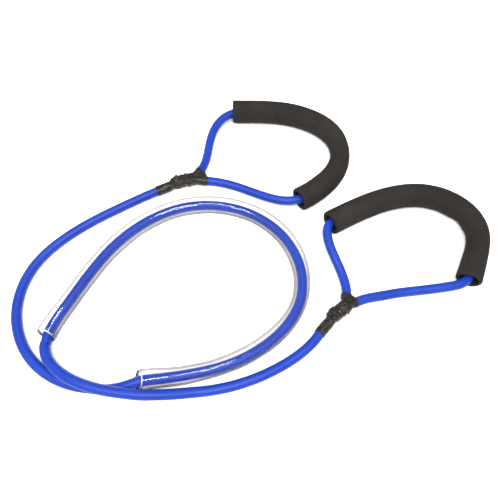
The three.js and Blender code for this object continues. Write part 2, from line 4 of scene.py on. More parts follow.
import bpy
import numpy as np
from mathutils import Matrix, Vector, noise
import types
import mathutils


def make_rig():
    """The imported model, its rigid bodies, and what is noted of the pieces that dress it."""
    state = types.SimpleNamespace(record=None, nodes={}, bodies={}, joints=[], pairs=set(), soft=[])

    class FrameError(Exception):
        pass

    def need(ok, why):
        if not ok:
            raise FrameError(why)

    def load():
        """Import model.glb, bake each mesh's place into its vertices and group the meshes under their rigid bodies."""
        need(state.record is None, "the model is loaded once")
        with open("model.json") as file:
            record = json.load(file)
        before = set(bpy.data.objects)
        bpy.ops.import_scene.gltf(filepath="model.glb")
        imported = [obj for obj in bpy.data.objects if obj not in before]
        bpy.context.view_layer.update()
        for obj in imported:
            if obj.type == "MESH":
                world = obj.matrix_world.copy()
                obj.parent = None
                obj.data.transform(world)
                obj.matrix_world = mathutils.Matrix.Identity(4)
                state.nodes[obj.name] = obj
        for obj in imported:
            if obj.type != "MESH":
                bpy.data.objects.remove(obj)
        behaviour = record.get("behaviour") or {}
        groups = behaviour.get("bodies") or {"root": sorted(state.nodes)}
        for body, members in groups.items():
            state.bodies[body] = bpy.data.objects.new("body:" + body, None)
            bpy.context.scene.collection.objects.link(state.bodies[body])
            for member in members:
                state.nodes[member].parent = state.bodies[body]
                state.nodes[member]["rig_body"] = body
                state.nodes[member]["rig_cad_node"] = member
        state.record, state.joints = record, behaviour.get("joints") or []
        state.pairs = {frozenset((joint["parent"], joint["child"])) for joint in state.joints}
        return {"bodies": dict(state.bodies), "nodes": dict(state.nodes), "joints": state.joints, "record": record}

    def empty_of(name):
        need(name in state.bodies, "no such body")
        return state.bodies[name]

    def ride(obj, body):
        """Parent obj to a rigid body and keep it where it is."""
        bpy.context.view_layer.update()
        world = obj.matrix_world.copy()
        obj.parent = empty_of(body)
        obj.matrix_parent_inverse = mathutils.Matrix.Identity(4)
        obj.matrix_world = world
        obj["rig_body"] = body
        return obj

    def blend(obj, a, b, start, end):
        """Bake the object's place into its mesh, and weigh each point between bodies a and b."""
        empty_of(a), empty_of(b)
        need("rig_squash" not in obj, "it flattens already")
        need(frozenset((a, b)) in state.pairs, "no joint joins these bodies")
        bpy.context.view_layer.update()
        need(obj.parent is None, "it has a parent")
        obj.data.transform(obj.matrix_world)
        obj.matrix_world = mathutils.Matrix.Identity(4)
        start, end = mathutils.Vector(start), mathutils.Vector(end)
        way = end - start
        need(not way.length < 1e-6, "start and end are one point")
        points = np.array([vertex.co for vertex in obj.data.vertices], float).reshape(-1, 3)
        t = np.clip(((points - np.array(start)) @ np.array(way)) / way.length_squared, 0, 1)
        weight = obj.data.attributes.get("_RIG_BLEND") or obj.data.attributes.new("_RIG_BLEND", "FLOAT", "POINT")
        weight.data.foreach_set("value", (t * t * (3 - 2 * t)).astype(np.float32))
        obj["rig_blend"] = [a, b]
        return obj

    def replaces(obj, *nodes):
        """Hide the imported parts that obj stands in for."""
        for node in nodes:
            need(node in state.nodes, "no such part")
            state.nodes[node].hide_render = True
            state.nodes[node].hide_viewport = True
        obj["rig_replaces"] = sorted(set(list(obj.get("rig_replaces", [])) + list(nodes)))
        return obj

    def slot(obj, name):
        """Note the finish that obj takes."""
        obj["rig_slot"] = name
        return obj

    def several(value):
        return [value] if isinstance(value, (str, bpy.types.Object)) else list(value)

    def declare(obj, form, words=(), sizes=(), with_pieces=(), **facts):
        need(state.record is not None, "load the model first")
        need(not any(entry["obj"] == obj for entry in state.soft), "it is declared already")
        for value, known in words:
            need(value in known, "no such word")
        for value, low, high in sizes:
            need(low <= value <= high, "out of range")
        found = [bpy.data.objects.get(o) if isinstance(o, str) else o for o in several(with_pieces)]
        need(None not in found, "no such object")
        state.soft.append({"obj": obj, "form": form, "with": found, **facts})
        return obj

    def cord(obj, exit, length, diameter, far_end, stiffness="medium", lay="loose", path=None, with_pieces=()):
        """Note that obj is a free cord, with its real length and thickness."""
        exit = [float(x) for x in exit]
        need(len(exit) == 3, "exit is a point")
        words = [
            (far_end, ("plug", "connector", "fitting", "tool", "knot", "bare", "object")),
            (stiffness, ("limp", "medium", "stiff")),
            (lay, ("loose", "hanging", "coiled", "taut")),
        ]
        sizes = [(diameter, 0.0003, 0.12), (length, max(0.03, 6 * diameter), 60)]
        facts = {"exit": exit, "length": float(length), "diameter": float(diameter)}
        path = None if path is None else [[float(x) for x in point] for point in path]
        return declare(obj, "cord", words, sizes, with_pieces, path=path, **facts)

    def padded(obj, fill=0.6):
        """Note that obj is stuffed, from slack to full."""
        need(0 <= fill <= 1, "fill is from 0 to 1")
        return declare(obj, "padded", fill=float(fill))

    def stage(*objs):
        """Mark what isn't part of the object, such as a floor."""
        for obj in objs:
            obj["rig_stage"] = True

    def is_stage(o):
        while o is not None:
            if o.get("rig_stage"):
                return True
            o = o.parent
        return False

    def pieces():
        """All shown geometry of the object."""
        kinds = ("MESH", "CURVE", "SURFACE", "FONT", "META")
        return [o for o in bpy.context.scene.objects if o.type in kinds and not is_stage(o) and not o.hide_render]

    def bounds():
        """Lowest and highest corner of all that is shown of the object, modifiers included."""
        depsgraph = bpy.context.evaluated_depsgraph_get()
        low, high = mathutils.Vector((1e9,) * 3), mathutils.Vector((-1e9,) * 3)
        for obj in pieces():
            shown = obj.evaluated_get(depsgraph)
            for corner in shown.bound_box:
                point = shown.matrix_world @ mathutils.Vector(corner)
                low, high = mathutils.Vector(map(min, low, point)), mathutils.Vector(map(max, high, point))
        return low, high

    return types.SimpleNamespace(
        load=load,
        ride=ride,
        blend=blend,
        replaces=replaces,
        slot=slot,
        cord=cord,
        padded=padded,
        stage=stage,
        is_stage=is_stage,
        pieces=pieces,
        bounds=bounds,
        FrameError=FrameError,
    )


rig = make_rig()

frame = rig.load()
CAD_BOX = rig.bounds()
MM = 0.001

# Centre lines, in millimetres in the row frame: the same routes as the CAD solids have.
TUBE_LINE = [
    (-115.57, 53.86, 6.45), (-111.98, 55.63, 6.45), (-104.45, 58.17, 6.45), (-96.76, 60.29, 6.45), (-90.21, 64.63, 6.18),
    (-85.88, 71.28, 5.68), (-83.17, 78.77, 5.33), (-81.57, 86.59, 4.88), (-80.67, 94.52, 4.96), (-80.06, 102.47, 5.4),
    (-79.32, 110.4, 6.04), (-78.12, 118.25, 6.85), (-76.17, 125.94, 7.76), (-73.21, 133.29, 8.69), (-69, 140, 9.57),
    (-63.5, 145.72, 10.31), (-56.79, 149.98, 10.84), (-49.17, 152.26, 11.09), (-41.22, 153.04, 11.15), (-33.24, 153.36, 11.15),
    (-25.26, 153.59, 11.15), (-17.27, 153.69, 11.16), (-9.29, 153.57, 11.17), (-1.32, 153.14, 11.18), (6.63, 152.29, 11.19),
    (14.5, 150.95, 11.2), (22.24, 149.02, 11.21), (29.8, 146.44, 11.21), (37.07, 143.15, 11.21), (43.95, 139.09, 11.21),
    (50.25, 134.2, 11.2), (55.75, 128.42, 11.2), (60.16, 121.77, 11.19), (63.34, 114.46, 11.19), (65.29, 106.73, 11.19),
    (66.01, 98.78, 11.19), (65.47, 90.82, 11.2), (63.73, 83.03, 11.22), (60.94, 75.56, 11.23), (57.24, 68.48, 11.22),
    (52.78, 61.86, 11.18), (47.67, 55.73, 11.12), (42.05, 50.05, 11.09), (36.03, 44.81, 11.14), (29.49, 40.24, 11.15),
    (22.3, 36.8, 10.98), (14.58, 34.87, 10.5), (6.66, 34.77, 9.64), (-1.1, 36.26, 8.53), (-8.63, 38.65, 7.41),
    (-16.05, 41.45, 6.44), (-23.42, 44.43, 5.67), (-30.81, 47.42, 5.11), (-38.27, 50.24, 4.77), (-45.85, 52.73, 4.75),
    (-53.57, 54.78, 4.75), (-61.41, 56.31, 4.94), (-69.33, 57.19, 5.3), (-77.31, 57.36, 5.62), (-85.27, 56.81, 6.18),
    (-93.13, 55.53, 6.45), (-100.82, 53.43, 6.45), (-108.48, 51.16, 6.45), (-115.86, 48.14, 6.33), (-123.04, 44.65, 5.73),
    (-130.05, 40.85, 5.6), (-136.96, 36.85, 5.54), (-143.79, 32.73, 5.35), (-150.58, 28.52, 5.15), (-157.32, 24.24, 4.96),
    (-164.01, 19.88, 4.78), (-170.66, 15.45, 4.75), (-177.24, 10.93, 4.75), (-183.74, 6.29, 4.75), (-190.15, 1.52, 4.75),
    (-196.43, -3.41, 4.75), (-202.57, -8.52, 4.75), (-208.53, -13.83, 4.75), (-214.28, -19.37, 4.75), (-219.78, -25.16, 4.75),
    (-224.99, -31.22, 4.75), (-229.81, -37.59, 4.75), (-234.13, -44.3, 4.75), (-237.84, -51.37, 4.75), (-240.82, -58.77, 4.75),
    (-243.03, -66.44, 4.75), (-244.46, -74.3, 4.75), (-245.09, -82.25, 4.75), (-244.92, -90.24, 4.75), (-243.93, -98.16, 4.75),
    (-242.16, -105.94, 4.75), (-239.63, -113.51, 4.75), (-236.38, -120.8, 4.75), (-232.44, -127.75, 4.75), (-227.85, -134.28, 4.75),
    (-222.64, -140.32, 4.75), (-216.84, -145.82, 4.75), (-210.53, -150.7, 4.75), (-203.76, -154.93, 4.75), (-196.62, -158.51, 4.75),
    (-189.18, -161.42, 4.75), (-181.52, -163.65, 4.75), (-173.69, -165.2, 4.75), (-165.75, -166.05, 4.75), (-157.77, -166.18, 4.75),
    (-149.81, -165.56, 4.81), (-141.94, -164.24, 5.05), (-134.18, -162.41, 5.51), (-126.5, -160.33, 6.19), (-118.84, -158.22, 6.98),
    (-111.1, -156.25, 7.2), (-103.32, -154.47, 7.2), (-95.5, -152.84, 7.2), (-87.67, -151.28, 7.2), (-79.83, -149.74, 7.2),
    (-72, -148.15, 7.2), (-64.21, -146.4, 7.2), (-56.48, -144.41, 7.2), (-48.84, -142.07, 7.2), (-41.35, -139.29, 7.2),
    (-34.05, -136.07, 7.2), (-26.95, -132.41, 7.2), (-20.08, -128.33, 7.2), (-13.47, -123.86, 7.2), (-7.13, -119.01, 7.2),
    (-1.12, -113.75, 7.2), (4.51, -108.09, 7.2), (9.69, -102.01, 7.2), (14.3, -95.5, 7.2), (18.26, -88.56, 7.2),
    (21.42, -81.23, 7.2), (23.66, -73.57, 7.2), (24.93, -65.69, 7.2), (25.27, -57.72, 7.2), (24.74, -49.75, 7.2),
    (23.41, -41.88, 7.2), (21.32, -34.18, 7.2), (18.5, -26.71, 7.2), (14.98, -19.54, 7.2), (10.8, -12.74, 7.2),
    (5.97, -6.38, 7.2), (0.55, -0.52, 7.2), (-5.39, 4.82, 7.2), (-11.79, 9.59, 7.2), (-18.57, 13.79, 7.2),
    (-25.7, 17.4, 7.2), (-33.09, 20.42, 7.2), (-40.7, 22.82, 7.2), (-48.49, 24.59, 7.2), (-56.39, 25.73, 7.2),
    (-64.36, 26.23, 7.2), (-72.34, 26.12, 7.2), (-80.3, 25.41, 7.2), (-88.18, 24.13, 7.2), (-95.95, 22.28, 7.2),
    (-103.56, 19.89, 7.2), (-111, 16.97, 7.2), (-118.21, 13.54, 7.2), (-125.15, 9.6, 7.2), (-131.82, 5.21, 7.2),
    (-138.19, 0.39, 7.2), (-144.25, -4.81, 7.2), (-149.99, -10.36, 7.2), (-155.41, -16.22, 7.2), (-160.52, -22.36, 7.2),
    (-165.29, -28.76, 7.2), (-169.75, -35.39, 7.2), (-173.9, -42.21, 7.2), (-177.8, -49.18, 7.2), (-181.51, -56.25, 7.2),
    (-185.09, -63.39, 7.2), (-188.59, -70.57, 7.2), (-192.06, -77.77, 7.2), (-195.53, -84.96, 7.2), (-199.04, -92.13, 7.2),
    (-202.55, -99.3, 7.2), (-205.72, -106.64, 7.2), (-208.02, -114.27, 7.2), (-209.03, -122.18, 7.38), (-208.34, -130.08, 8.17),
    (-205.79, -137.55, 9.23), (-201.54, -144.17, 10.5), (-195.96, -149.72, 11.8), (-189.55, -154.33, 12.94), (-182.64, -158.23, 13.81),
    (-175.37, -161.48, 14.36), (-167.84, -164.12, 14.63), (-160.13, -166.2, 14.68), (-152.3, -167.79, 14.58), (-144.4, -168.95, 14.41),
    (-136.46, -169.76, 14.25), (-128.49, -170.29, 14.12), (-120.52, -170.82, 13.93), (-112.56, -170.86, 13.52), (-104.64, -170.26, 12.65),
    (-96.81, -169.55, 11.25), (-89.09, -168.56, 9.46), (-81.41, -167.34, 7.65), (-73.66, -166.05, 6.22), (-65.82, -164.81, 5.34),
    (-58, -163.49, 4.75), (-50.18, -161.89, 4.75), (-42.43, -159.95, 4.75), (-34.77, -157.68, 4.75), (-27.22, -155.09, 4.75),
    (-19.79, -152.17, 4.75), (-12.48, -148.93, 4.75), (-5.33, -145.39, 4.75), (1.68, -141.56, 4.75), (8.53, -137.45, 4.75),
    (15.18, -133.04, 4.83), (21.61, -128.3, 5.02), (27.73, -123.17, 5.21), (33.46, -117.62, 5.41), (38.66, -111.57, 5.58),
    (43.23, -105.04, 5.6), (48.19, -98.79, 5.89), (53.89, -93.21, 6.42), (60.22, -88.35, 6.45), (66.49, -83.38, 6.45),
    (73.15, -79.03, 6.33), (80.15, -75.21, 5.6), (87.37, -71.81, 5.32), (94.76, -68.82, 4.94), (102.31, -66.23, 4.75),
    (109.98, -64.02, 4.75), (117.74, -62.16, 4.75), (125.58, -60.62, 4.75), (133.44, -59.34, 5.22), (141.31, -58.21, 5.95),
    (149.17, -57.15, 6.9), (157, -56.05, 8.04), (164.81, -54.84, 9.19), (172.61, -53.38, 10.1), (180.23, -51.1, 10.67),
    (186.79, -46.67, 10.96), (191.16, -40.03, 11.06), (194.21, -32.65, 11.08), (197.08, -25.19, 11.12), (199.99, -17.76, 11.17),
    (202.71, -10.25, 11.2), (204.69, -2.52, 11.2), (205.23, 5.44, 11.2), (204.09, 13.33, 11.2), (201.3, 20.79, 11.19),
    (197.02, 27.52, 11.2), (191.58, 33.35, 11.2), (185.26, 38.22, 11.21), (178.28, 42.09, 11.21), (170.83, 44.95, 11.2),
    (163.07, 46.84, 11.2), (155.15, 47.81, 11.19), (147.17, 47.95, 11.19), (139.21, 47.3, 11.19), (131.34, 45.95, 11.2),
    (123.61, 43.98, 11.2), (116.02, 41.49, 11.21), (108.59, 38.56, 11.21), (101.31, 35.29, 11.21), (94.15, 31.74, 11.2),
    (87.1, 27.98, 11.18), (80.13, 24.08, 11.15), (73.17, 20.18, 11.12), (66.08, 16.5, 11.09), (59.03, 12.75, 11.05),
    (53.32, 7.26, 10.95), (50.98, -0.28, 10.74), (51.57, -8.21, 10.35), (53.57, -15.91, 9.64), (56.36, -23.32, 8.63),
    (59.53, -30.55, 7.45), (62.74, -37.77, 6.28), (65.64, -45.14, 5.33), (67.87, -52.79, 4.94), (69.01, -60.68, 5.36),
    (68.53, -68.61, 5.86), (65.86, -76.36, 6.44), (60.04, -81.56, 6.45), (53.61, -86.26, 6.45), (50.25, -88.42, 6.45),
]
SLEEVE = [
    (-115.84, -157.43, 9), (-103.19, -154.45, 9), (-90.46, -151.83, 9), (-77.71, -149.32, 9), (-65.01, -146.59, 9),
    (-52.46, -143.23, 9), (-40.24, -138.83, 9), (-28.51, -133.26, 9), (-17.37, -126.57, 9), (-6.93, -118.84, 9),
    (2.64, -110.07, 9), (11.07, -100.19, 9), (17.94, -89.18, 9), (22.75, -77.13, 9), (25.05, -64.36, 9),
    (24.91, -51.38, 9), (22.62, -38.61, 9), (18.34, -26.35, 9), (12.23, -14.9, 9), (4.39, -4.55, 9),
    (-4.95, 4.46, 9), (-15.52, 12, 9), (-27.04, 18, 9), (-39.25, 22.41, 9), (-51.94, 25.17, 9),
    (-64.88, 26.24, 9), (-77.85, 25.69, 9), (-90.67, 23.6, 9), (-103.16, 20.03, 9), (-115.16, 15.06, 9),
    (-126.51, 8.76, 9), (-137.11, 1.25, 9), (-146.89, -7.29, 9), (-155.84, -16.71, 9), (-163.93, -26.87, 9),
    (-171.17, -37.66, 9), (-177.66, -48.91, 9), (-183.63, -60.45, 9), (-189.34, -72.13, 9), (-194.98, -83.83, 9),
    (-200.71, -95.5, 9), (-205.99, -107.36, 9), (-208.9, -119.99, 9),
]
GRIP_A = [
    (-55.74, 151.75, 12.6), (-42.89, 152.58, 12.6), (-30.04, 153.39, 12.6), (-17.17, 153.81, 12.6), (-4.29, 153.51, 12.6),
    (8.5, 152.12, 12.6), (21.07, 149.34, 12.6), (33.16, 144.94, 12.6), (44.42, 138.73, 12.6), (54.22, 130.42, 12.6),
    (61.39, 119.78, 12.6), (65.26, 107.54, 12.6), (65.87, 94.72, 12.6), (63.5, 82.09, 12.6), (58.43, 70.28, 12.6),
    (51.13, 59.69, 12.6), (42.3, 50.33, 12.6), (32.41, 42.09, 12.6), (21.69, 34.97, 12.6),
]
GRIP_B = [
    (53.68, 8.12, 12.6), (64.36, 14.77, 12.6), (75.11, 21.29, 12.6), (86.04, 27.53, 12.6), (97.2, 33.33, 12.6),
    (108.65, 38.53, 12.6), (120.44, 42.91, 12.6), (132.59, 46.18, 12.6), (145.03, 47.95, 12.6), (157.59, 47.81, 12.6),
    (169.9, 45.35, 12.6), (181.46, 40.44, 12.6), (191.72, 33.21, 12.6), (199.86, 23.67, 12.6), (204.59, 12.08, 12.6),
    (204.94, -0.42, 12.6), (201.96, -12.62, 12.6), (197.53, -24.4, 12.6), (192.7, -36.01, 12.6), (187.81, -47.6, 12.6),
]
PAIR_A = [
    (-113, 52.26, 6.45), (-110.96, 53.1, 6.45), (-109.12, 53.87, 6.45), (-107.22, 54.46, 6.45), (-105.79, 54.91, 6.45),
    (-103.87, 55.46, 6.45), (-101.94, 55.98, 6.45), (-100, 56.49, 6.45), (-98.07, 57.01, 6.45), (-96.16, 57.58, 6.45),
    (-94.28, 58.22, 6.44), (-92.45, 58.94, 6.41),
]
PAIR_B = [
    (53.51, -89.69, 6.45), (55.32, -88.44, 6.45), (56.97, -87.32, 6.45), (58.57, -86.13, 6.45), (60.17, -84.93, 6.45),
    (61.76, -83.71, 6.45), (63.32, -82.46, 6.45), (64.83, -81.16, 6.45), (66.32, -79.86, 6.45), (67.36, -78.84, 6.44),
    (68.23, -77.62, 6.42),
]
TAIL_A, TAPE_A, TAPE_B, TAIL_B = 4.40, 515.75, 1710.15, 2215.86
WRAP_END = {"a": (57, 33.5), "b": (49, 26)}
# How the tubes are squeezed inside a binding: distance, half width, half height.
SQUEEZE_MAIN = {"a": [(0, 4.75, 4.75), (12, 4.75, 4.75), (15, 4.65, 4.73), (18, 3.47, 4.49), (21, 2.67, 4.33), (24, 2.54, 4.31), (27, 2.53, 4.31), (30, 2.55, 4.31), (33, 2.54, 4.31), (36, 2.54, 4.31), (39, 2.56, 4.31), (42, 2.83, 4.37), (45, 3.38, 4.48), (48, 4.14, 4.63), (51, 4.75, 4.75), (69, 4.75, 4.75)],
    "b": [(0, 4.75, 4.75), (15, 4.75, 4.75), (18, 3.57, 4.51), (21, 2.72, 4.34), (24, 2.53, 4.31), (27, 2.55, 4.31), (30, 2.53, 4.31), (33, 2.55, 4.31), (36, 2.51, 4.3), (39, 2.65, 4.33), (42, 3.38, 4.48), (45, 4.25, 4.65), (48, 4.75, 4.75), (69, 4.75, 4.75)]}
SQUEEZE_TAIL = {"a": [(0, 2.5, 4.3), (3, 2.57, 4.31), (6, 2.55, 4.31), (9, 2.54, 4.31), (15, 2.54, 4.31), (18, 2.67, 4.33), (21, 3.18, 4.44), (24, 4, 4.6), (27, 4.75, 4.75), (69, 4.75, 4.75)],
    "b": [(0, 2.55, 4.31), (3, 2.53, 4.31), (6, 2.54, 4.31), (9, 2.54, 4.31), (12, 2.55, 4.31), (15, 2.54, 4.31), (18, 3.29, 4.46), (21, 4.38, 4.68), (24, 4.75, 4.75), (69, 4.75, 4.75)]}
# Where the middle of the photograph meets the floor.
LOOK_X, LOOK_Y = -0.02707, -0.02106
# Which side of each grip is the inside of its bend: 1 is the left of its line.
GRIP_SIDE_A, GRIP_SIDE_B = -1.0, -1.0

TUBE_R = 4.75
GRIP_R, GRIP_BORE = 12.6, 9.0
SLEEVE_R, SLEEVE_WALL = 9.0, 1.5
LEAD, LIFT_AT, SWING_AT = 6.0, 66.0, 102.0

# ---------------------------------------------------------------- camera
def make_camera():
    pitch, roll, height = math.radians(64.0), math.radians(-3.0), 0.416
    fwd = np.array([0, math.cos(pitch), -math.sin(pitch)])
    right = np.array([1.0, 0, 0])
    down = np.cross(fwd, right)
    r2 = math.cos(roll) * right + math.sin(roll) * down
    d2 = -math.sin(roll) * right + math.cos(roll) * down
    place = np.array([LOOK_X, LOOK_Y - height / math.tan(pitch), height])
    cam = bpy.data.objects.new("camera", bpy.data.cameras.new("camera"))
    m = Matrix.Identity(4)
    for i in range(3):
        m[i][0], m[i][1], m[i][2], m[i][3] = r2[i], -d2[i], -fwd[i], place[i]
    cam.matrix_world = m
    cam.data.sensor_width = 36.0
    cam.data.lens = 36.0 * 450.0 / 500.0
    cam.data.clip_start, cam.data.clip_end = 0.01, 20
    bpy.context.scene.collection.objects.link(cam)
    bpy.context.scene.camera = cam


make_camera()


# ---------------------------------------------------------------- lines and sweeps (millimetres)
class Line:
    """A smooth line through points, asked for by distance from its start."""

    def __init__(self, points, per=24):
        p = np.array(points, float)
        q = np.vstack([2 * p[0] - p[1], p, 2 * p[-1] - p[-2]])
        t = np.linspace(0, 1, per, endpoint=False)[:, None]
        out = []
        for i in range(len(p) - 1):
            a, b, c, d = q[i], q[i + 1], q[i + 2], q[i + 3]
            out.append(0.5 * (2 * b + (c - a) * t + (2 * a - 5 * b + 4 * c - d) * t**2 + (3 * b - a - 3 * c + d) * t**3))
        self.p = np.vstack(out + [p[-1:]])
        self.d = np.r_[0, np.cumsum(np.linalg.norm(np.diff(self.p, axis=0), axis=1))]
        self.length = float(self.d[-1])

    def at(self, s):
        s = np.atleast_1d(np.asarray(s, float))
        q = np.stack([np.interp(s, self.d, self.p[:, k]) for k in range(3)], 1)
        first, last = self.p[1] - self.p[0], self.p[-1] - self.p[-2]
        q += np.minimum(s, 0)[:, None] * first / np.linalg.norm(first)
        q += np.maximum(s - self.length, 0)[:, None] * last / np.linalg.norm(last)
        return q

    def frames(self, s, reach=1.0):
        """Place, way along, side (left of the way along) and up, at each distance."""
        s = np.atleast_1d(np.asarray(s, float))
        c = self.at(s)
        t = self.at(s + reach) - self.at(s - reach)
        t /= np.linalg.norm(t, axis=1)[:, None]
        side = np.cross(np.array([0, 0, 1.0]), t)
        side /= np.linalg.norm(side, axis=1)[:, None]
        return c, t, side, np.cross(t, side)


def table(rows, s):
    r = np.array(rows, float)
    return np.interp(s, r[:, 0], r[:, 1]), np.interp(s, r[:, 0], r[:, 2])


def new_mesh(name, verts, faces, sharp=(), smooth=True, uv=None):
    me = bpy.data.meshes.new(name)
    me.from_pydata([tuple(v) for v in np.asarray(verts) * MM], [], faces)
    me.validate()
    me.polygons.foreach_set("use_smooth", [smooth] * len(me.polygons))
    if len(sharp):
        wanted = {tuple(sorted(e)) for e in sharp}
        flags = [tuple(sorted(e.vertices)) in wanted for e in me.edges]
        me.attributes.new("sharp_edge", "BOOLEAN", "EDGE").data.foreach_set("value", flags)
    if uv is not None:
        layer = me.uv_layers.new(name="UVMap")
        loops = np.zeros(len(me.loops), int)
        me.loops.foreach_get("vertex_index", loops)
        layer.data.foreach_set("uv", np.asarray(uv, np.float32)[loops].ravel())
    me.update()
    o = bpy.data.objects.new(name, me)
    bpy.context.scene.collection.objects.link(o)
    return o


def rings_mesh(name, rings, caps=True, loop=False, uv=None):
    """Rings of equal count joined in order; capped at both ends, or closed into a loop."""
    n, m = len(rings), len(rings[0])
    verts = np.vstack(rings)
    faces = []
    for i in range(n if loop else n - 1):
        a, b = i * m, ((i + 1) % n) * m
        for k in range(m):
            k2 = (k + 1) % m
            faces.append((a + k, a + k2, b + k2, b + k))
    sharp = []
    if caps and not loop:
        faces.append(tuple(range(m - 1, -1, -1)))
        faces.append(tuple((n - 1) * m + k for k in range(m)))
        for a in (0, (n - 1) * m):
            sharp += [(a + k, a + (k + 1) % m) for k in range(m)]
    return verts, faces, sharp


def oval(c, side, up, w, h, count, power=2.0, turn=0.0):
    th = turn + 2 * np.pi * np.arange(count) / count
    ca, sa = np.cos(th), np.sin(th)
    f = 1.0 / (np.abs(ca) ** power + np.abs(sa) ** power) ** (1 / power)
    return c + np.outer(w * ca * f, side) + np.outer(h * sa * f, up)


def link(a, b, c):
    return a + (b - a) * c


TUBE = Line(TUBE_LINE)
# two short places where the soft tube sags a little to one side of its drawn line
for d0, d1, d2, d3, move in ((822, 840, 848, 873, (0.3, -2.0, 0.1)), (1738, 1752, 1762, 1792, (-0.4, 2.2, 0.0))):
    k = np.clip(np.minimum((TUBE.d - d0) / (d1 - d0), (d3 - TUBE.d) / (d3 - d2)), 0, 1)
    TUBE.p = TUBE.p + np.outer(k * k * (3 - 2 * k), move)
# inside the sleeve the tube wanders a little from wall to wall
TUBE_DRIFT = [(842.0, 0.0), (865.9, -0.1), (873.9, -0.85), (889.9, -1.85), (905.9, -1.75), (921.8, -1.43), (945.8, -0.95), (969.8, -0.79), (1017.7, -0.47), (1073.5, -0.75), (1113.5, 0.28), (1145.4, 0.94), (1193.3, 0.84), (1225.2, 0.15), (1273.1, 0.67), (1321.1, 0.45), (1361.0, 0.85), (1385.0, 1.66), (1400.9, 2.11), (1408.9, 1.93), (1416.9, 1.31), (762.2, 0.0)]
def drift(line, rows):
    rows = np.array(rows, float)
    rows = rows[np.argsort(rows[:, 0])]
    grid = np.arange(rows[0, 0] - 8, rows[-1, 0] + 9)
    soft = np.convolve(np.pad(np.interp(grid, rows[:, 0], rows[:, 1]), 6, "edge"), np.ones(13) / 13, "valid")
    way = np.gradient(line.p, axis=0)
    side = np.cross(np.array([0, 0, 1.0]), way)
    side /= np.linalg.norm(side, axis=1)[:, None]
    line.p = line.p + side * np.interp(line.d, grid, soft, left=0.0, right=0.0)[:, None]


drift(TUBE, TUBE_DRIFT)
NUM = 28


def tube_rings(stations, sizes=None):
    c, t, side, up = TUBE.frames(stations)
    out = []
    for i in range(len(stations)):
        w, h = (TUBE_R, TUBE_R) if sizes is None else sizes[i]
        out.append(oval(c[i], side[i], up[i], w, h, NUM))
    return out, c


def tube_piece(name, s0, s1, step=2.0, sizes=None):
    n = max(int(round(abs(s1 - s0) / step)), 4)
    stations = np.linspace(s0, s1, n + 1)
    rings, centres = tube_rings(stations, None if sizes is None else [sizes(s) for s in stations])
    if s1 < s0:
        rings = [r[::-1] for r in rings]
    verts, faces, sharp = rings_mesh(name, rings)
    uv = np.repeat(np.stack([stations / 1000.0, np.zeros(len(stations))], 1), NUM, axis=0)
    uv[:, 1] = np.tile(np.arange(NUM) / NUM, len(stations))
    o = new_mesh(name, verts, faces, sharp, uv=uv)
    return o, centres * MM


# ---------------------------------------------------------------- materials
def node_material(name):
    m = bpy.data.materials.new(name)
    m.use_nodes = True
    nt = m.node_tree
    nt.nodes.clear()
    out = nt.nodes.new("ShaderNodeOutputMaterial")
    return m, nt, out


def add(nt, kind, **inputs):
    n = nt.nodes.new(kind)
    for k, v in inputs.items():
        if k.startswith("_"):
            setattr(n, k[1:], v)
        else:
            n.inputs[k.replace("__", " ")].default_value = v
    return n


def ramp(nt, fac, stops):
    r = nt.nodes.new("ShaderNodeValToRGB")
    while len(r.color_ramp.elements) < len(stops):
        r.color_ramp.elements.new(0.5)
    for e, (p, c) in zip(r.color_ramp.elements, stops):
        e.position = p
        e.color = (*c, 1.0) if len(c) == 3 else c
    nt.links.new(fac, r.inputs["Fac"])
    return r.outputs["Color"]


def noise_tex(nt, vector, scale, detail=4.0, rough=0.55, stretch=None):
    src = vector
    if stretch is not None:
        mp = nt.nodes.new("ShaderNodeMapping")
        mp.inputs["Scale"].default_value = stretch
        nt.links.new(vector, mp.inputs["Vector"])
        src = mp.outputs["Vector"]
    t = add(nt, "ShaderNodeTexNoise", Scale=scale, Detail=detail, Roughness=rough)
    nt.links.new(src, t.inputs["Vector"])
    return t.outputs["Fac"]


def bump(nt, height, strength, distance, normal=None):
    b = add(nt, "ShaderNodeBump", Strength=strength, Distance=distance)
    nt.links.new(height, b.inputs["Height"])
    if normal is not None:
        nt.links.new(normal, b.inputs["Normal"])
    return b.outputs["Normal"]


def tube_material():
    m, nt, out = node_material("stretch_tube_blue")
    co = add(nt, "ShaderNodeTexCoord")
    obj, uv = co.outputs["Object"], co.outputs["UV"]
    cloud = noise_tex(nt, obj, 38.0, 3.0)
    base = ramp(nt, cloud, [(0.3, (0.0046, 0.0235, 0.222)), (0.7, (0.0070, 0.0320, 0.262))])
    # faint lines that the extruder leaves along the tube
    lines = noise_tex(nt, uv, 1.0, 2.0, 0.5, (6.0, 42.0, 1.0))
    fine = noise_tex(nt, obj, 1500.0, 2.0, 0.6)
    rough = nt.nodes.new("ShaderNodeMapRange")
    rough.inputs["To Min"].default_value = 0.34
    rough.inputs["To Max"].default_value = 0.52
    nt.links.new(noise_tex(nt, obj, 160.0, 4.0), rough.inputs["Value"])
    p = add(nt, "ShaderNodeBsdfPrincipled", IOR=1.5)
    p.inputs["Specular IOR Level"].default_value = 0.22
    nt.links.new(base, p.inputs["Base Color"])
    nt.links.new(rough.outputs["Result"], p.inputs["Roughness"])
    n1 = bump(nt, lines, 0.12, 0.0004)
    nt.links.new(bump(nt, fine, 0.10, 0.0002, n1), p.inputs["Normal"])
    nt.links.new(p.outputs[0], out.inputs["Surface"])
    return m


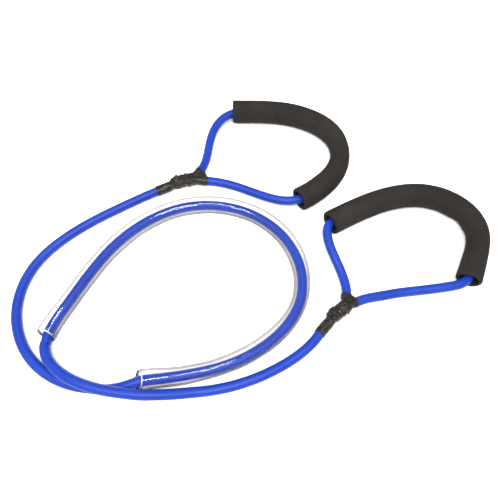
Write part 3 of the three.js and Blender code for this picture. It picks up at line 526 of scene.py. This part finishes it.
def foam_material():
    m, nt, out = node_material("foam_charcoal")
    co = add(nt, "ShaderNodeTexCoord")
    obj = co.outputs["Object"]
    broad = noise_tex(nt, obj, 26.0, 5.0, 0.6)
    base = ramp(nt, broad, [(0.25, (0.0128, 0.0111, 0.0100)), (0.55, (0.0182, 0.0157, 0.0140)), (0.8, (0.0250, 0.0214, 0.0190))])
    specks = noise_tex(nt, obj, 900.0, 3.0, 0.7)
    dots = ramp(nt, specks, [(0.35, (0.5, 0.5, 0.5)), (0.52, (1.0, 1.0, 1.0)), (0.72, (1.8, 1.75, 1.7))])
    mul = nt.nodes.new("ShaderNodeMix")
    mul.data_type, mul.blend_type = "RGBA", "MULTIPLY"
    mul.inputs["Factor"].default_value = 0.55
    nt.links.new(base, mul.inputs["A"])
    nt.links.new(dots, mul.inputs["B"])
    cells = add(nt, "ShaderNodeTexVoronoi", Scale=1300.0)
    nt.links.new(obj, cells.inputs["Vector"])
    p = add(nt, "ShaderNodeBsdfPrincipled", Roughness=0.82, IOR=1.42)
    p.inputs["Specular IOR Level"].default_value = 0.12
    nt.links.new(mul.outputs["Result"], p.inputs["Base Color"])
    n1 = bump(nt, noise_tex(nt, obj, 180.0, 4.0, 0.6), 0.25, 0.0006)
    nt.links.new(bump(nt, cells.outputs["Distance"], 0.35, 0.00025, n1), p.inputs["Normal"])
    nt.links.new(p.outputs[0], out.inputs["Surface"])
    return m


def tape_material():
    m, nt, out = node_material("wound_tape_black")
    co = add(nt, "ShaderNodeTexCoord")
    obj = co.outputs["Object"]
    base = ramp(nt, noise_tex(nt, obj, 140.0, 4.0, 0.6), [(0.3, (0.0072, 0.0058, 0.0046)), (0.7, (0.0165, 0.0135, 0.0108))])
    # scuffed flecks along the pulled edges of the tape
    scuff = ramp(nt, noise_tex(nt, obj, 1.0, 3.0, 0.62, (260.0, 620.0, 620.0)), [(0.56, (0.0, 0.0, 0.0)), (0.66, (1.0, 1.0, 1.0))])
    worn = nt.nodes.new("ShaderNodeMix")
    worn.data_type = "RGBA"
    nt.links.new(scuff, worn.inputs["Factor"])
    nt.links.new(base, worn.inputs["A"])
    worn.inputs["B"].default_value = (0.060, 0.050, 0.041, 1.0)
    p = add(nt, "ShaderNodeBsdfPrincipled", IOR=1.5)
    p.inputs["Specular IOR Level"].default_value = 0.22
    rough = nt.nodes.new("ShaderNodeMapRange")
    rough.inputs["To Min"].default_value = 0.24
    rough.inputs["To Max"].default_value = 0.46
    nt.links.new(noise_tex(nt, obj, 320.0, 3.0), rough.inputs["Value"])
    nt.links.new(rough.outputs["Result"], p.inputs["Roughness"])
    nt.links.new(worn.outputs["Result"], p.inputs["Base Color"])
    n1 = bump(nt, noise_tex(nt, obj, 420.0, 3.0, 0.55), 0.35, 0.0004)
    nt.links.new(bump(nt, noise_tex(nt, obj, 2200.0, 2.0), 0.12, 0.0002, n1), p.inputs["Normal"])
    nt.links.new(p.outputs[0], out.inputs["Surface"])
    return m


def sleeve_material(name, stops, gloss_share):
    """Soft clear vinyl: see-through face on, a little greyer and glossier where it is seen edge on; the grey there is
    partly the vinyl's own tint and partly painted shade for the dark refraction lines at the silhouettes.
    """
    m, nt, out = node_material(name)
    co = add(nt, "ShaderNodeTexCoord")
    obj = co.outputs["Object"]
    facing = add(nt, "ShaderNodeLayerWeight", Blend=0.5)
    # the grey towards the edges is partly the vinyl's own tint through the wall seen edge on and partly painted shade
    # standing in for the dark lines that refraction draws at the silhouettes
    tint_and_edge_shade = ramp(nt, facing.outputs["Facing"], stops)
    haze = ramp(nt, noise_tex(nt, obj, 18.0, 2.0), [(0.3, (0.985, 0.983, 0.985)), (0.7, (1.0, 1.0, 1.0))])
    mul = nt.nodes.new("ShaderNodeMix")
    mul.data_type, mul.blend_type = "RGBA", "MULTIPLY"
    mul.inputs["Factor"].default_value = 1.0
    nt.links.new(tint_and_edge_shade, mul.inputs["A"])
    nt.links.new(haze, mul.inputs["B"])
    clear = add(nt, "ShaderNodeBsdfTransparent")
    nt.links.new(mul.outputs["Result"], clear.inputs["Color"])
    gloss = add(nt, "ShaderNodeBsdfGlossy")
    rough = nt.nodes.new("ShaderNodeMapRange")
    rough.inputs["To Min"].default_value = 0.05
    rough.inputs["To Max"].default_value = 0.09
    nt.links.new(noise_tex(nt, obj, 240.0, 3.0), rough.inputs["Value"])
    nt.links.new(rough.outputs["Result"], gloss.inputs["Roughness"])
    fres = add(nt, "ShaderNodeFresnel", IOR=1.45)
    share = nt.nodes.new("ShaderNodeMath")
    share.operation = "MINIMUM"
    share.inputs[1].default_value = gloss_share
    nt.links.new(fres.outputs[0], share.inputs[0])
    mix = nt.nodes.new("ShaderNodeMixShader")
    nt.links.new(share.outputs[0], mix.inputs[0])
    nt.links.new(clear.outputs[0], mix.inputs[1])
    nt.links.new(gloss.outputs[0], mix.inputs[2])
    nt.links.new(mix.outputs[0], out.inputs["Surface"])
    return m


def sleeve_cut_material():
    """The cut ends of the sleeve: painted light and shade by height, pale on top where the wall would catch the light
    and dark where the rim lies low.
    """
    m, nt, out = node_material("clear_vinyl_cut")
    co = add(nt, "ShaderNodeTexCoord")
    xyz = nt.nodes.new("ShaderNodeSeparateXYZ")
    nt.links.new(co.outputs["Object"], xyz.inputs[0])
    height = nt.nodes.new("ShaderNodeMapRange")
    height.inputs["From Min"].default_value = 0.0
    height.inputs["From Max"].default_value = 0.020
    nt.links.new(xyz.outputs["Z"], height.inputs["Value"])
    rag = nt.nodes.new("ShaderNodeMath")
    rag.operation = "ADD"
    nt.links.new(height.outputs["Result"], rag.inputs[0])
    wave = nt.nodes.new("ShaderNodeMapRange")
    wave.inputs["To Min"].default_value = -0.06
    wave.inputs["To Max"].default_value = 0.06
    nt.links.new(noise_tex(nt, co.outputs["Object"], 300.0, 2.0), wave.inputs["Value"])
    nt.links.new(wave.outputs["Result"], rag.inputs[1])
    # painted light and shade: the rim is coloured pale high up and dark low down, by its height alone
    painted_rim_light_and_shade = ramp(nt, rag.outputs[0], [(0.0, (0.05, 0.05, 0.052)), (0.62, (0.07, 0.07, 0.072)), (0.84, (0.42, 0.47, 0.56))])
    body = add(nt, "ShaderNodeBsdfPrincipled", Roughness=0.3, IOR=1.5)
    nt.links.new(painted_rim_light_and_shade, body.inputs["Base Color"])
    clear = add(nt, "ShaderNodeBsdfTransparent")
    mix = nt.nodes.new("ShaderNodeMixShader")
    mix.inputs[0].default_value = 0.74
    nt.links.new(clear.outputs[0], mix.inputs[1])
    nt.links.new(body.outputs[0], mix.inputs[2])
    nt.links.new(mix.outputs[0], out.inputs["Surface"])
    return m


def cord_material():
    m, nt, out = node_material("lashing_cord")
    co = add(nt, "ShaderNodeTexCoord")
    wave = add(nt, "ShaderNodeTexWave", Scale=900.0, Distortion=2.0, Detail=2.0)
    nt.links.new(co.outputs["Object"], wave.inputs["Vector"])
    base = ramp(nt, wave.outputs["Fac"], [(0.2, (0.012, 0.012, 0.012)), (0.9, (0.035, 0.034, 0.032))])
    p = add(nt, "ShaderNodeBsdfPrincipled", Roughness=0.8)
    nt.links.new(base, p.inputs["Base Color"])
    nt.links.new(bump(nt, wave.outputs["Fac"], 0.3, 0.0002), p.inputs["Normal"])
    nt.links.new(p.outputs[0], out.inputs["Surface"])
    return m


BLUE, FOAM, TAPE, LASH = tube_material(), foam_material(), tape_material(), cord_material()
VINYL = sleeve_material("clear_vinyl", [(0.0, (0.96, 0.972, 0.98)), (0.34, (0.95, 0.948, 0.95)), (0.44, (0.64, 0.622, 0.628)), (0.66, (0.58, 0.560, 0.568)), (0.78, (0.50, 0.480, 0.488)), (0.88, (0.32, 0.30, 0.31)), (1.0, (0.18, 0.16, 0.17))], 0.040)
VINYL_IN = sleeve_material("clear_vinyl_inside", [(0.0, (0.985, 0.99, 0.99)), (0.60, (0.975, 0.965, 0.97)), (0.92, (0.88, 0.86, 0.87)), (1.0, (0.70, 0.68, 0.69))], 0.003)
VINYL_CUT = sleeve_cut_material()


def paint(o, mat):
    o.data.materials.clear()
    o.data.materials.append(mat)


# ---------------------------------------------------------------- the tube (first, with its free stretches declared)
ENDS = {
    "a": {"at": lambda s: TAPE_A - s, "tail": lambda s: TAIL_A + s, "sign": 1},
    "b": {"at": lambda s: TAPE_B + s, "tail": lambda s: TAIL_B - s, "sign": -1},
}

run, run_path = tube_piece("tube_run", TAPE_A + SWING_AT, TAPE_B - SWING_AT)
paint(run, BLUE)
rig.ride(run, "band")
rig.replaces(run, "tube_main_run")
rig.slot(run, "stretch_tube")
bends = []
for e, d in ENDS.items():
    at = d["at"]
    swing, swing_path = tube_piece(f"tube_swing_stretch_{e}", at(-SWING_AT), at(-LIFT_AT), 1.5)
    lift, lift_path = tube_piece(f"tube_lift_stretch_{e}", at(-LIFT_AT), at(-LEAD), 1.5)
    for o in (swing, lift):
        paint(o, BLUE)
        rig.slot(o, "stretch_tube")
    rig.blend(swing, "band", f"swing_stretch_{e}", start=swing_path[0], end=swing_path[-1])
    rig.replaces(swing, f"tube_swing_{e}")
    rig.blend(lift, f"swing_stretch_{e}", f"handle_{e}", start=lift_path[0], end=lift_path[-1])
    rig.replaces(lift, f"tube_lift_{e}")
    bends += [swing, lift]
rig.cord(run, exit=run_path[0], length=float(TAPE_B - TAPE_A - 2 * SWING_AT) * MM, diameter=2 * TUBE_R * MM, far_end="object", stiffness="limp", lay="loose", path=run_path, with_pieces=bends)

for e, d in ENDS.items():
    at, tail = d["at"], d["tail"]
    s0, s1 = at(-LEAD), tail(0)

    def size(s, e=e, s0=s0, s1=s1):
        m = table(SQUEEZE_MAIN[e], abs(s - s0) - LEAD)
        r = table(SQUEEZE_TAIL[e], abs(s1 - s))
        return min(m[0], r[0]), min(m[1], r[1])

    o, _ = tube_piece(f"tube_loop_{e}", s0, s1, 2.0, size)
    paint(o, BLUE)
    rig.ride(o, f"handle_{e}")
    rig.replaces(o, f"handle_loop_{e}")
    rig.slot(o, "stretch_tube")


# ---------------------------------------------------------------- foam grips
def wob(p, scale, seed=0.0):
    return noise.noise(Vector((p[0] * scale + seed, p[1] * scale - seed, p[2] * scale + 2 * seed)))


def foam_grip(name, points, crease, inner_side, pinch, ends):
    """A foam sleeve with softly rounded cut ends. crease: folds on the inside of its bend as (distance, depth, reach,
    width). pinch: (distance, inner half width, outer half width) along it, for foam flattened by the bend."""
    line = Line(points)
    L, n, fil = line.length, 72, 1.9
    pin = np.array(pinch, float)
    prof = []
    for a in np.linspace(0, np.pi / 2, 8):
        prof.append((fil - fil * math.cos(a), GRIP_R - fil + fil * math.sin(a), "o"))
    body = np.arange(3.2, L - 3.2, 1.3)
    prof += [(s, GRIP_R, "o") for s in np.linspace(2.7, L - 2.7, len(body))]
    for a in np.linspace(np.pi / 2, 0, 8):
        prof.append((L - (fil - fil * math.cos(a)), GRIP_R - fil + fil * math.sin(a), "o"))
    prof.append((L, GRIP_BORE + 0.5 * (GRIP_R - GRIP_BORE - fil), "e"))
    for a in np.linspace(0, np.pi / 2, 4):
        prof.append((L - 0.7 * (1 - math.cos(a)), GRIP_BORE + 0.7 - 0.7 * math.sin(a), "i"))
    prof += [(s, GRIP_BORE, "i") for s in np.linspace(L - 2.0, 2.0, int(L / 3.0))]
    for a in np.linspace(np.pi / 2, 0, 4):
        prof.append((0.7 * (1 - math.cos(a)), GRIP_BORE + 0.7 - 0.7 * math.sin(a), "i"))
    prof.append((0.0, GRIP_BORE + 0.5 * (GRIP_R - GRIP_BORE - fil), "e"))
    th = 2 * np.pi * np.arange(n) / n
    rings = []
    for s, r, kind in prof:
        s2 = s - ends[0] * max(0.0, 1 - s / 25) + ends[1] * max(0.0, 1 - (L - s) / 25)
        c, t, side, up = (x[0] for x in line.frames(s2))
        rr = np.full(n, r)
        if kind == "o":
            for k in range(n):
                d = side * math.cos(th[k]) + up * math.sin(th[k])
                p = c + d * r
                rr[k] += 0.11 * wob(p, 0.045, 3.0) + 0.06 * wob(p, 0.25, 9.0)
            for s0, depth, reach, width in crease:
                inner = np.clip(np.cos(th) * inner_side, 0, 1) ** width
                rr -= depth * math.exp(-abs(s - s0) / reach) * inner
                rr += 0.30 * depth * math.exp(-(((abs(s - s0) - 2.2 * reach) / reach) ** 2)) * inner
        # half widths towards the inside and the outside of the bend, of the outer skin; the bore gives half as much
        win, wout = np.interp(s, pin[:, 0], pin[:, 1]) / GRIP_R, np.interp(s, pin[:, 0], pin[:, 2]) / GRIP_R
        if kind != "o":
            win, wout = 1 - 0.5 * (1 - win), 1 - 0.5 * (1 - wout)
        x = np.cos(th) * rr
        toward = x * inner_side > 0
        x = np.where(toward, x * win, x * wout)
        rings.append(c + np.outer(x, side) + np.outer(np.sin(th) * rr, up))
    verts, faces, _ = rings_mesh(name, rings, caps=False, loop=True)
    verts[:, 2] = np.maximum(verts[:, 2], 0.02)
    o = new_mesh(name, verts, [f[::-1] for f in faces])
    paint(o, FOAM)
    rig.slot(o, "foam")
    return o


PINCH_A = [(0, 12.6, 12.6), (88, 12.6, 12.6), (112, 11.6, 12.5), (135, 9.3, 12.4), (158, 9.1, 12.4), (180, 10.9, 12.5), (200, 12.4, 12.6), (235, 12.6, 12.6)]
PINCH_B = [(0, 12.6, 12.6), (110, 12.6, 12.6), (140, 12.2, 12.4), (158, 11.4, 12.0), (175, 10.8, 11.4), (200, 10.8, 11.3), (222, 11.8, 12.0), (240, 12.4, 12.4)]
grip_a = foam_grip("foam_handle_a", GRIP_A, [(150.0, 0.4, 9.0, 2.0)], GRIP_SIDE_A, PINCH_A, (0.0, 0.0))
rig.ride(grip_a, "grip_a")
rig.replaces(grip_a, "foam_grip_a")
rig.padded(grip_a, fill=1.0)
grip_b = foam_grip("foam_handle_b", GRIP_B, [(158.0, 1.9, 6.0, 1.6)], GRIP_SIDE_B, PINCH_B, (0.0, 0.0))
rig.ride(grip_b, "grip_b")
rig.replaces(grip_b, "foam_grip_b")
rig.padded(grip_b, fill=1.0)


# ---------------------------------------------------------------- clear sleeve
# Width of the soft sleeve at distances along it: pinched in the tight bend, spread where it lies slack.
SLEEVE_WIDTH = [(0, 18.9), (25, 17.6), (52, 16.4), (91, 16.2), (130, 15.6), (169, 15.2), (208, 16.8), (247, 18.7), (286, 20.1), (325, 20.4), (364, 20.3), (403, 20.2), (442, 19.6), (481, 18.9), (520, 18.8), (546, 18.9)]
# The ends are cut slantwise: how far the top of each is set back, and how far it reaches past the CAD solid.
SLEEVE_DRIFT = [(0, 0.0), (10, -0.60), (21, -1.70), (33, -2.4), (55, -1.49), (75, -0.33), (101, 0.28), (151, 0.23), (201, 0.0), (248, 0.14), (275, 0.36), (321, 0.92), (355, 0.77), (401, 1.26), (451, 1.58), (488, 1.96), (515, 2.68), (528, 2.74), (538, 1.7), (546, 0.12)]
SLEEVE_DRAW = [(0, 1.0), (10, 0.97), (21, 0.93), (33, 0.93), (55, 0.96), (75, 1.0), (101, 0.99), (151, 1.04), (201, 1.02), (248, 0.96), (275, 0.93), (321, 0.88), (355, 0.89), (401, 0.91), (451, 0.93), (488, 0.92), (520, 0.89), (538, 0.92), (546, 1.0)]
SLEEVE_CUT = {"start": (4.3, 3.6), "end": (2.2, 2.6)}


def clear_sleeve():
    line = Line(SLEEVE)
    drift(line, SLEEVE_DRIFT)
    L, n = line.length, 64
    widths = np.array(SLEEVE_WIDTH, float)
    widths[:, 1] *= np.interp(widths[:, 0], *np.array(SLEEVE_DRAW, float).T)
    count = int(L / 2.2)
    body = np.concatenate([[1.2, 2.1], np.linspace(3.6, L - 3.6, count), [L - 2.1, L - 1.2]])
    prof = [(0.0, 1), (0.35, 1)] + [(s, 1) for s in body] + [(L - 0.35, 1), (L, 1)]
    prof += [(L, 0), (L - 0.35, 0)] + [(s, 0) for s in body[::-1]] + [(0.35, 0), (0.0, 0)]
    to_end = lambda a, b: min(a, L - a, b, L - b)
    th = 2 * np.pi * np.arange(n) / n
    rings = []
    for s, outside in prof:
        u = s / L
        s2 = s - SLEEVE_CUT["start"][1] * max(0.0, 1 - s / 30) + SLEEVE_CUT["end"][1] * max(0.0, 1 - (L - s) / 30)
        c, t, side, up = (x[0] for x in line.frames(s2))
        w = float(np.interp(s, widths[:, 0], widths[:, 1])) / 2
        w += 0.12 * math.sin(s * 0.061 + 0.4) + 0.08 * math.sin(s * 0.143 + 1.9)
        h = math.sqrt(2 * SLEEVE_R**2 - w * w)
        cut = 0.2 if min(s, L - s) < 0.1 else 0.0
        low = h + 0.03
        wall = 0.0 if outside else SLEEVE_WALL
        a, b = w - wall + (cut if not outside else -cut), h - wall + (cut if not outside else -cut)
        back = SLEEVE_CUT["start"][0] * max(0.0, 1 - s / 30) - SLEEVE_CUT["end"][0] * max(0.0, 1 - (L - s) / 30)
        base = np.array([c[0], c[1], low])
        rings.append(base + np.outer(np.cos(th) * a, side) + np.outer(np.sin(th) * b, up) + np.outer(np.sin(th) * back, t))
    verts, faces, _ = rings_mesh("s", rings, caps=False, loop=True)
    o = new_mesh("clear_guard_sleeve", verts, [f[::-1] for f in faces])
    for mat in (VINYL, VINYL_IN, VINYL_CUT):
        o.data.materials.append(mat)
    kinds = []
    for i in range(len(prof)):
        a, b = prof[i], prof[(i + 1) % len(prof)]
        wall = 0 if a[1] and b[1] else 1
        kinds += [2 if to_end(a[0], b[0]) < (1.1 if math.sin(q) > 0.62 else 1.3) else wall for q in th]
    o.data.polygons.foreach_set("material_index", kinds)
    return o


sleeve = clear_sleeve()
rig.ride(sleeve, "sleeve")
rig.replaces(sleeve, "clear_sleeve")
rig.slot(sleeve, "clear_sleeve")


# ---------------------------------------------------------------- taped bindings
def solid_sweep(frames_of, stations, sizes, power=2.0, count=28, slant=0.0):
    c, t, side, up = frames_of(stations)
    rings = [oval(c[i], side[i], up[i], sizes[i][0], sizes[i][1], count, power) for i in range(len(stations))]
    for i in range(len(stations)):
        k = max(0.0, 1 - (stations[-1] - stations[i]) / 9.0) * slant / sizes[i][0]
        rings[i] = rings[i] + np.outer((rings[i] - c[i]) @ side[i] * k, t[i])
    way = (c[-1] - c[0]) @ t[0]
    if way < 0:
        rings = [r[::-1] for r in rings]
    return rings_mesh("x", rings)[:2]


def remeshed(name, parts, voxel):
    verts, faces = [], []
    for v, f in parts:
        k = len(verts)
        verts += [tuple(p) for p in v]
        faces += [tuple(i + k for i in q) for q in f]
    raw = new_mesh(name + "_raw", np.array(verts), faces)
    mod = raw.modifiers.new("voxels", "REMESH")
    mod.mode, mod.voxel_size, mod.adaptivity = "VOXEL", voxel * MM, 0.0
    dg = bpy.context.evaluated_depsgraph_get()
    ev = raw.evaluated_get(dg)
    me = bpy.data.meshes.new_from_object(ev, depsgraph=dg)
    bpy.data.objects.remove(raw)
    return me


def mesh_arrays(me):
    co = np.zeros(len(me.vertices) * 3)
    me.vertices.foreach_get("co", co)
    ed = np.zeros(len(me.edges) * 2, int)
    me.edges.foreach_get("vertices", ed)
    return co.reshape(-1, 3) / MM, ed.reshape(-1, 2)


def relax(co, ed, times, amount=0.5):
    n = np.bincount(ed.ravel(), minlength=len(co)).astype(float)[:, None]
    for _ in range(times):
        acc = np.zeros_like(co)
        np.add.at(acc, ed[:, 0], co[ed[:, 1]])
        np.add.at(acc, ed[:, 1], co[ed[:, 0]])
        co = co + amount * (acc / np.maximum(n, 1) - co)
    return co


def binding(e, pair_points, lead_end, tail_end, slant=0.0, web_reach=1.0):
    at, tail = ENDS[e]["at"], ENDS[e]["tail"]
    pair = Line(pair_points)
    over = 0.8
    grow = lambda rows, s: [(float(w) + o, float(h) + o) for w, h, o in zip(*table(rows, s), np.interp(s, [34, 48], [over, 0.45]))]
    frames_main = lambda s: TUBE.frames(at(np.asarray(s)))
    frames_tail = lambda s: TUBE.frames(tail(np.asarray(s)))
    s_main, s_tail, s_pair = np.linspace(0, lead_end, 40), np.linspace(-0.8, tail_end, 26), np.linspace(0.4, pair.length - 0.4, 20)
    parts = [
        solid_sweep(frames_main, s_main, grow(SQUEEZE_MAIN[e], s_main)),
        solid_sweep(frames_tail, s_tail, grow(SQUEEZE_TAIL[e], np.maximum(s_tail, 0)), slant=slant),
        solid_sweep(pair.frames, s_pair, [(6.95, 6.2)] * len(s_pair), 2.6),
    ]
    # the tail's cut end keeps its corner under the tape, and the tape slopes from it down to the single tube
    c, t, side, up = (x[0] for x in frames_tail([0.0]))
    m = TUBE.at(at(np.array([0.0])))[0]
    q, tq, sideq, upq = (x[0] for x in frames_main([_nearest_main(at, c) - 9.0]))
    out = c - (TUBE.at(at(np.array([_nearest_main(at, c)])))[0])
    out[2] = 0
    out /= np.linalg.norm(out)
    ring = []
    for k, w, h, o in ((0.0, 3.4, 4.2, 0.2), (0.35, 3.6, 4.3, 0.4), (0.75, 3.5, 4.3, 1.0), (0.95, 3.3, 4.2, 1.5), (1.08, 2.5, 3.4, 1.2), (1.35, 2.0, 2.8, 0.0)):
        p = q + (c - q) * k + out * o
        tt = (c - q) / np.linalg.norm(c - q)
        sd = np.cross(np.array([0, 0, 1.0]), tt)
        sd /= np.linalg.norm(sd)
        ring.append(oval(p, sd, np.cross(tt, sd), w, h, 24))
    parts.append(rings_mesh("x", ring)[:2])
    # a small web of tape in the crotch between the two legs
    c, t, side, up = (x[0] for x in pair.frames([pair.length]))
    web = [oval(c + t * k, side, up, w, h, 24) for k, w, h in ((-4.0, 5.5, 4.8), (1.5, 5.8, 4.7), (5.0, 6.4, 4.4), (8.5, 7.4, 4.0), (11.5, 8.0, 3.5), (13.5, 7.4, 2.8), (14.5, 5.6, 1.8))]
    web = [w + np.outer(np.ones(len(w)), t) * (web_reach - 1) * k for w, k in zip(web, (0, 1.5, 5.0, 8.5, 11.5, 13.5, 14.5))]
    parts.append(rings_mesh("x", web)[:2])
    me = remeshed(f"taped_binding_{e}", parts, 0.42)
    co, ed = mesh_arrays(me)
    co = relax(co, ed, 6)
    # where each point is: distance along the binding and turn round it
    s_body = np.linspace(0, 1, 120)
    start = _nearest_main(at, pair.at([2.0])[0])
    body = np.vstack([TUBE.at(at(np.linspace(0, start, 50))), pair.at(np.linspace(3.0, pair.length, 60))])
    legs = [TUBE.at(at(np.linspace(_nearest_main(at, pair.at([pair.length])[0]), lead_end, 40))), TUBE.at(tail(np.linspace(_nearest_main(tail, pair.at([pair.length])[0], 40), tail_end, 40)))]
    bd = np.r_[0, np.cumsum(np.linalg.norm(np.diff(body, axis=0), axis=1))]
    best = np.full(len(co), 1e9)
    S, TH = np.zeros(len(co)), np.zeros(len(co))
    pull = np.zeros(len(co))
    for path, offset in ((body, 0.0), (legs[0], bd[-1]), (legs[1], bd[-1] + 2.0)):
        d0 = np.r_[0, np.cumsum(np.linalg.norm(np.diff(path, axis=0), axis=1))]
        tan = np.gradient(path, axis=0)
        tan /= np.linalg.norm(tan, axis=1)[:, None]
        for i in range(len(path)):
            dist = np.linalg.norm(co - path[i], axis=1)
            m2 = dist < best
            best[m2] = dist[m2]
            rel = co[m2] - path[i]
            sd = np.cross(np.array([0, 0, 1.0]), tan[i])
            sd /= np.linalg.norm(sd)
            S[m2] = offset + d0[i] + rel @ tan[i]
            TH[m2] = np.arctan2(rel @ np.cross(tan[i], sd), rel @ sd)
    # normals
    me.vertices.foreach_set("co", (co * MM).ravel())
    me.update()
    nor = np.zeros(len(co) * 3)
    me.vertices.foreach_get("normal", nor)
    nor = nor.reshape(-1, 3)
    rng = [noise.noise(Vector((0.17 * p[0], 0.17 * p[1], 0.17 * p[2]))) for p in co]
    fine = [noise.noise(Vector((0.42 * p[0] + 5, 0.42 * p[1], 0.42 * p[2]))) for p in co]
    rng, fine = np.array(rng), np.array(fine)
    pitch = 5.4
    phase = (S / pitch + ENDS[e]["sign"] * TH / (2 * np.pi) + 0.10 * rng) % 1.0
    saw = np.where(phase < 0.86, phase / 0.86, (1 - phase) / 0.14)
    inside = np.clip((S - 13.0) / 5.0, 0, 1) * np.clip((bd[-1] + 1.0 - S) / 4.0, 0, 1)
    lumps = 0.5 + 0.5 * np.cos(2 * np.pi * (S / pitch + 0.12 * np.sin(TH) + 0.15 * rng))
    edge = np.clip(np.minimum(S - 0.6, 100), 0, 1)
    # the lashing shows as uneven lumps, and the tape over it pulls into slanting ridges
    knots = np.cos(2 * np.pi * (S / 9.4 + 0.20 * np.sin(TH + 0.8) + 0.25 * rng))
    tri = np.abs(((S / 4.7 + 0.45 * np.sin(TH) + 0.30 * rng) % 1.0) - 0.5) * 2
    ridges = np.clip(1.6 * tri - 0.6, 0, 1) ** 0.8
    move = 0.24 * (saw - 0.5) * edge + inside * (0.38 * knots + 0.62 * (ridges - 0.35) + 0.18 * (lumps - 0.5) + 0.42 * fine) + 0.14 * rng * edge
    co = co + nor * move[:, None]
    co[:, 2] = np.maximum(co[:, 2], 0.03)
    me.vertices.foreach_set("co", (co * MM).ravel())
    me.polygons.foreach_set("use_smooth", [True] * len(me.polygons))
    me.update()
    o = bpy.data.objects.new(f"taped_binding_{e}", me)
    bpy.context.scene.collection.objects.link(o)
    paint(o, TAPE)
    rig.ride(o, f"handle_{e}")
    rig.replaces(o, f"tape_{e}")
    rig.slot(o, "tape")
    return o


def _nearest_main(at, point, upto=70):
    s = np.linspace(0, upto, 280)
    return float(s[np.linalg.norm(TUBE.at(at(s)) - np.asarray(point), axis=1).argmin()])


binding("a", PAIR_A, WRAP_END["a"][0], WRAP_END["a"][1] - 3.4, slant=1.7)
binding("b", PAIR_B, *WRAP_END["b"], web_reach=0.8)
for e in "ab":
    paint(frame["nodes"][f"lashing_{e}"], LASH)


# ---------------------------------------------------------------- floor and light
def floor_material():
    m, nt, out = node_material("pale_floor")
    co = add(nt, "ShaderNodeTexCoord")
    base = ramp(nt, noise_tex(nt, co.outputs["Object"], 3.0, 2.0), [(0.0, (0.93, 0.93, 0.93)), (1.0, (0.95, 0.95, 0.95))])
    p = add(nt, "ShaderNodeBsdfPrincipled", Roughness=0.9)
    p.inputs["Specular IOR Level"].default_value = 0.1
    nt.links.new(base, p.inputs["Base Color"])
    nt.links.new(p.outputs[0], out.inputs["Surface"])
    return m


me = bpy.data.meshes.new("floor")
me.from_pydata([(-6, -6, 0), (6, -6, 0), (6, 6, 0), (-6, 6, 0)], [], [(0, 1, 2, 3)])
floor = bpy.data.objects.new("floor", me)
bpy.context.scene.collection.objects.link(floor)
floor.data.materials.append(floor_material())
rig.stage(floor)


def area_light(name, place, target, size, power, color=(1, 1, 1)):
    l = bpy.data.lights.new(name, "AREA")
    l.shape, l.size, l.size_y, l.energy, l.color = "RECTANGLE", size[0], size[1], power, color
    o = bpy.data.objects.new(name, l)
    o.location = place
    o.rotation_euler = (Vector(target) - Vector(place)).to_track_quat("-Z", "Y").to_euler()
    bpy.context.scene.collection.objects.link(o)
    return o


overhead = area_light("overhead", (0, 0, 1.5), (0, 0, 0), (2.6, 2.6), 48)
overhead.visible_glossy = False
area_light("softbox_right", (0.12, -0.56, 1.05), (0, 0, 0), (0.30, 0.24), 6.0)
area_light("softbox_left", (-0.41, -0.45, 1.05), (0, 0, 0), (0.26, 0.24), 5.6)
area_light("softbox_front", (-0.04, -0.28, 1.05), (0, 0, 0), (0.44, 0.17), 5.2)

world = bpy.data.worlds.new("studio")
world.use_nodes = True
world.node_tree.nodes["Background"].inputs[0].default_value = (1, 1, 1, 1)
world.node_tree.nodes["Background"].inputs[1].default_value = 0.50
bpy.context.scene.world = world
bpy.context.scene.view_settings.view_transform = "Standard"
bpy.context.scene.view_settings.look = "None"

bpy.context.view_layer.update()
listed = lambda b: [[float(x) for x in row] if hasattr(row, "__len__") else float(row) for row in b]
json.dump({"cad": listed(CAD_BOX), "visual": listed(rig.bounds())}, open("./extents.json", "w"))
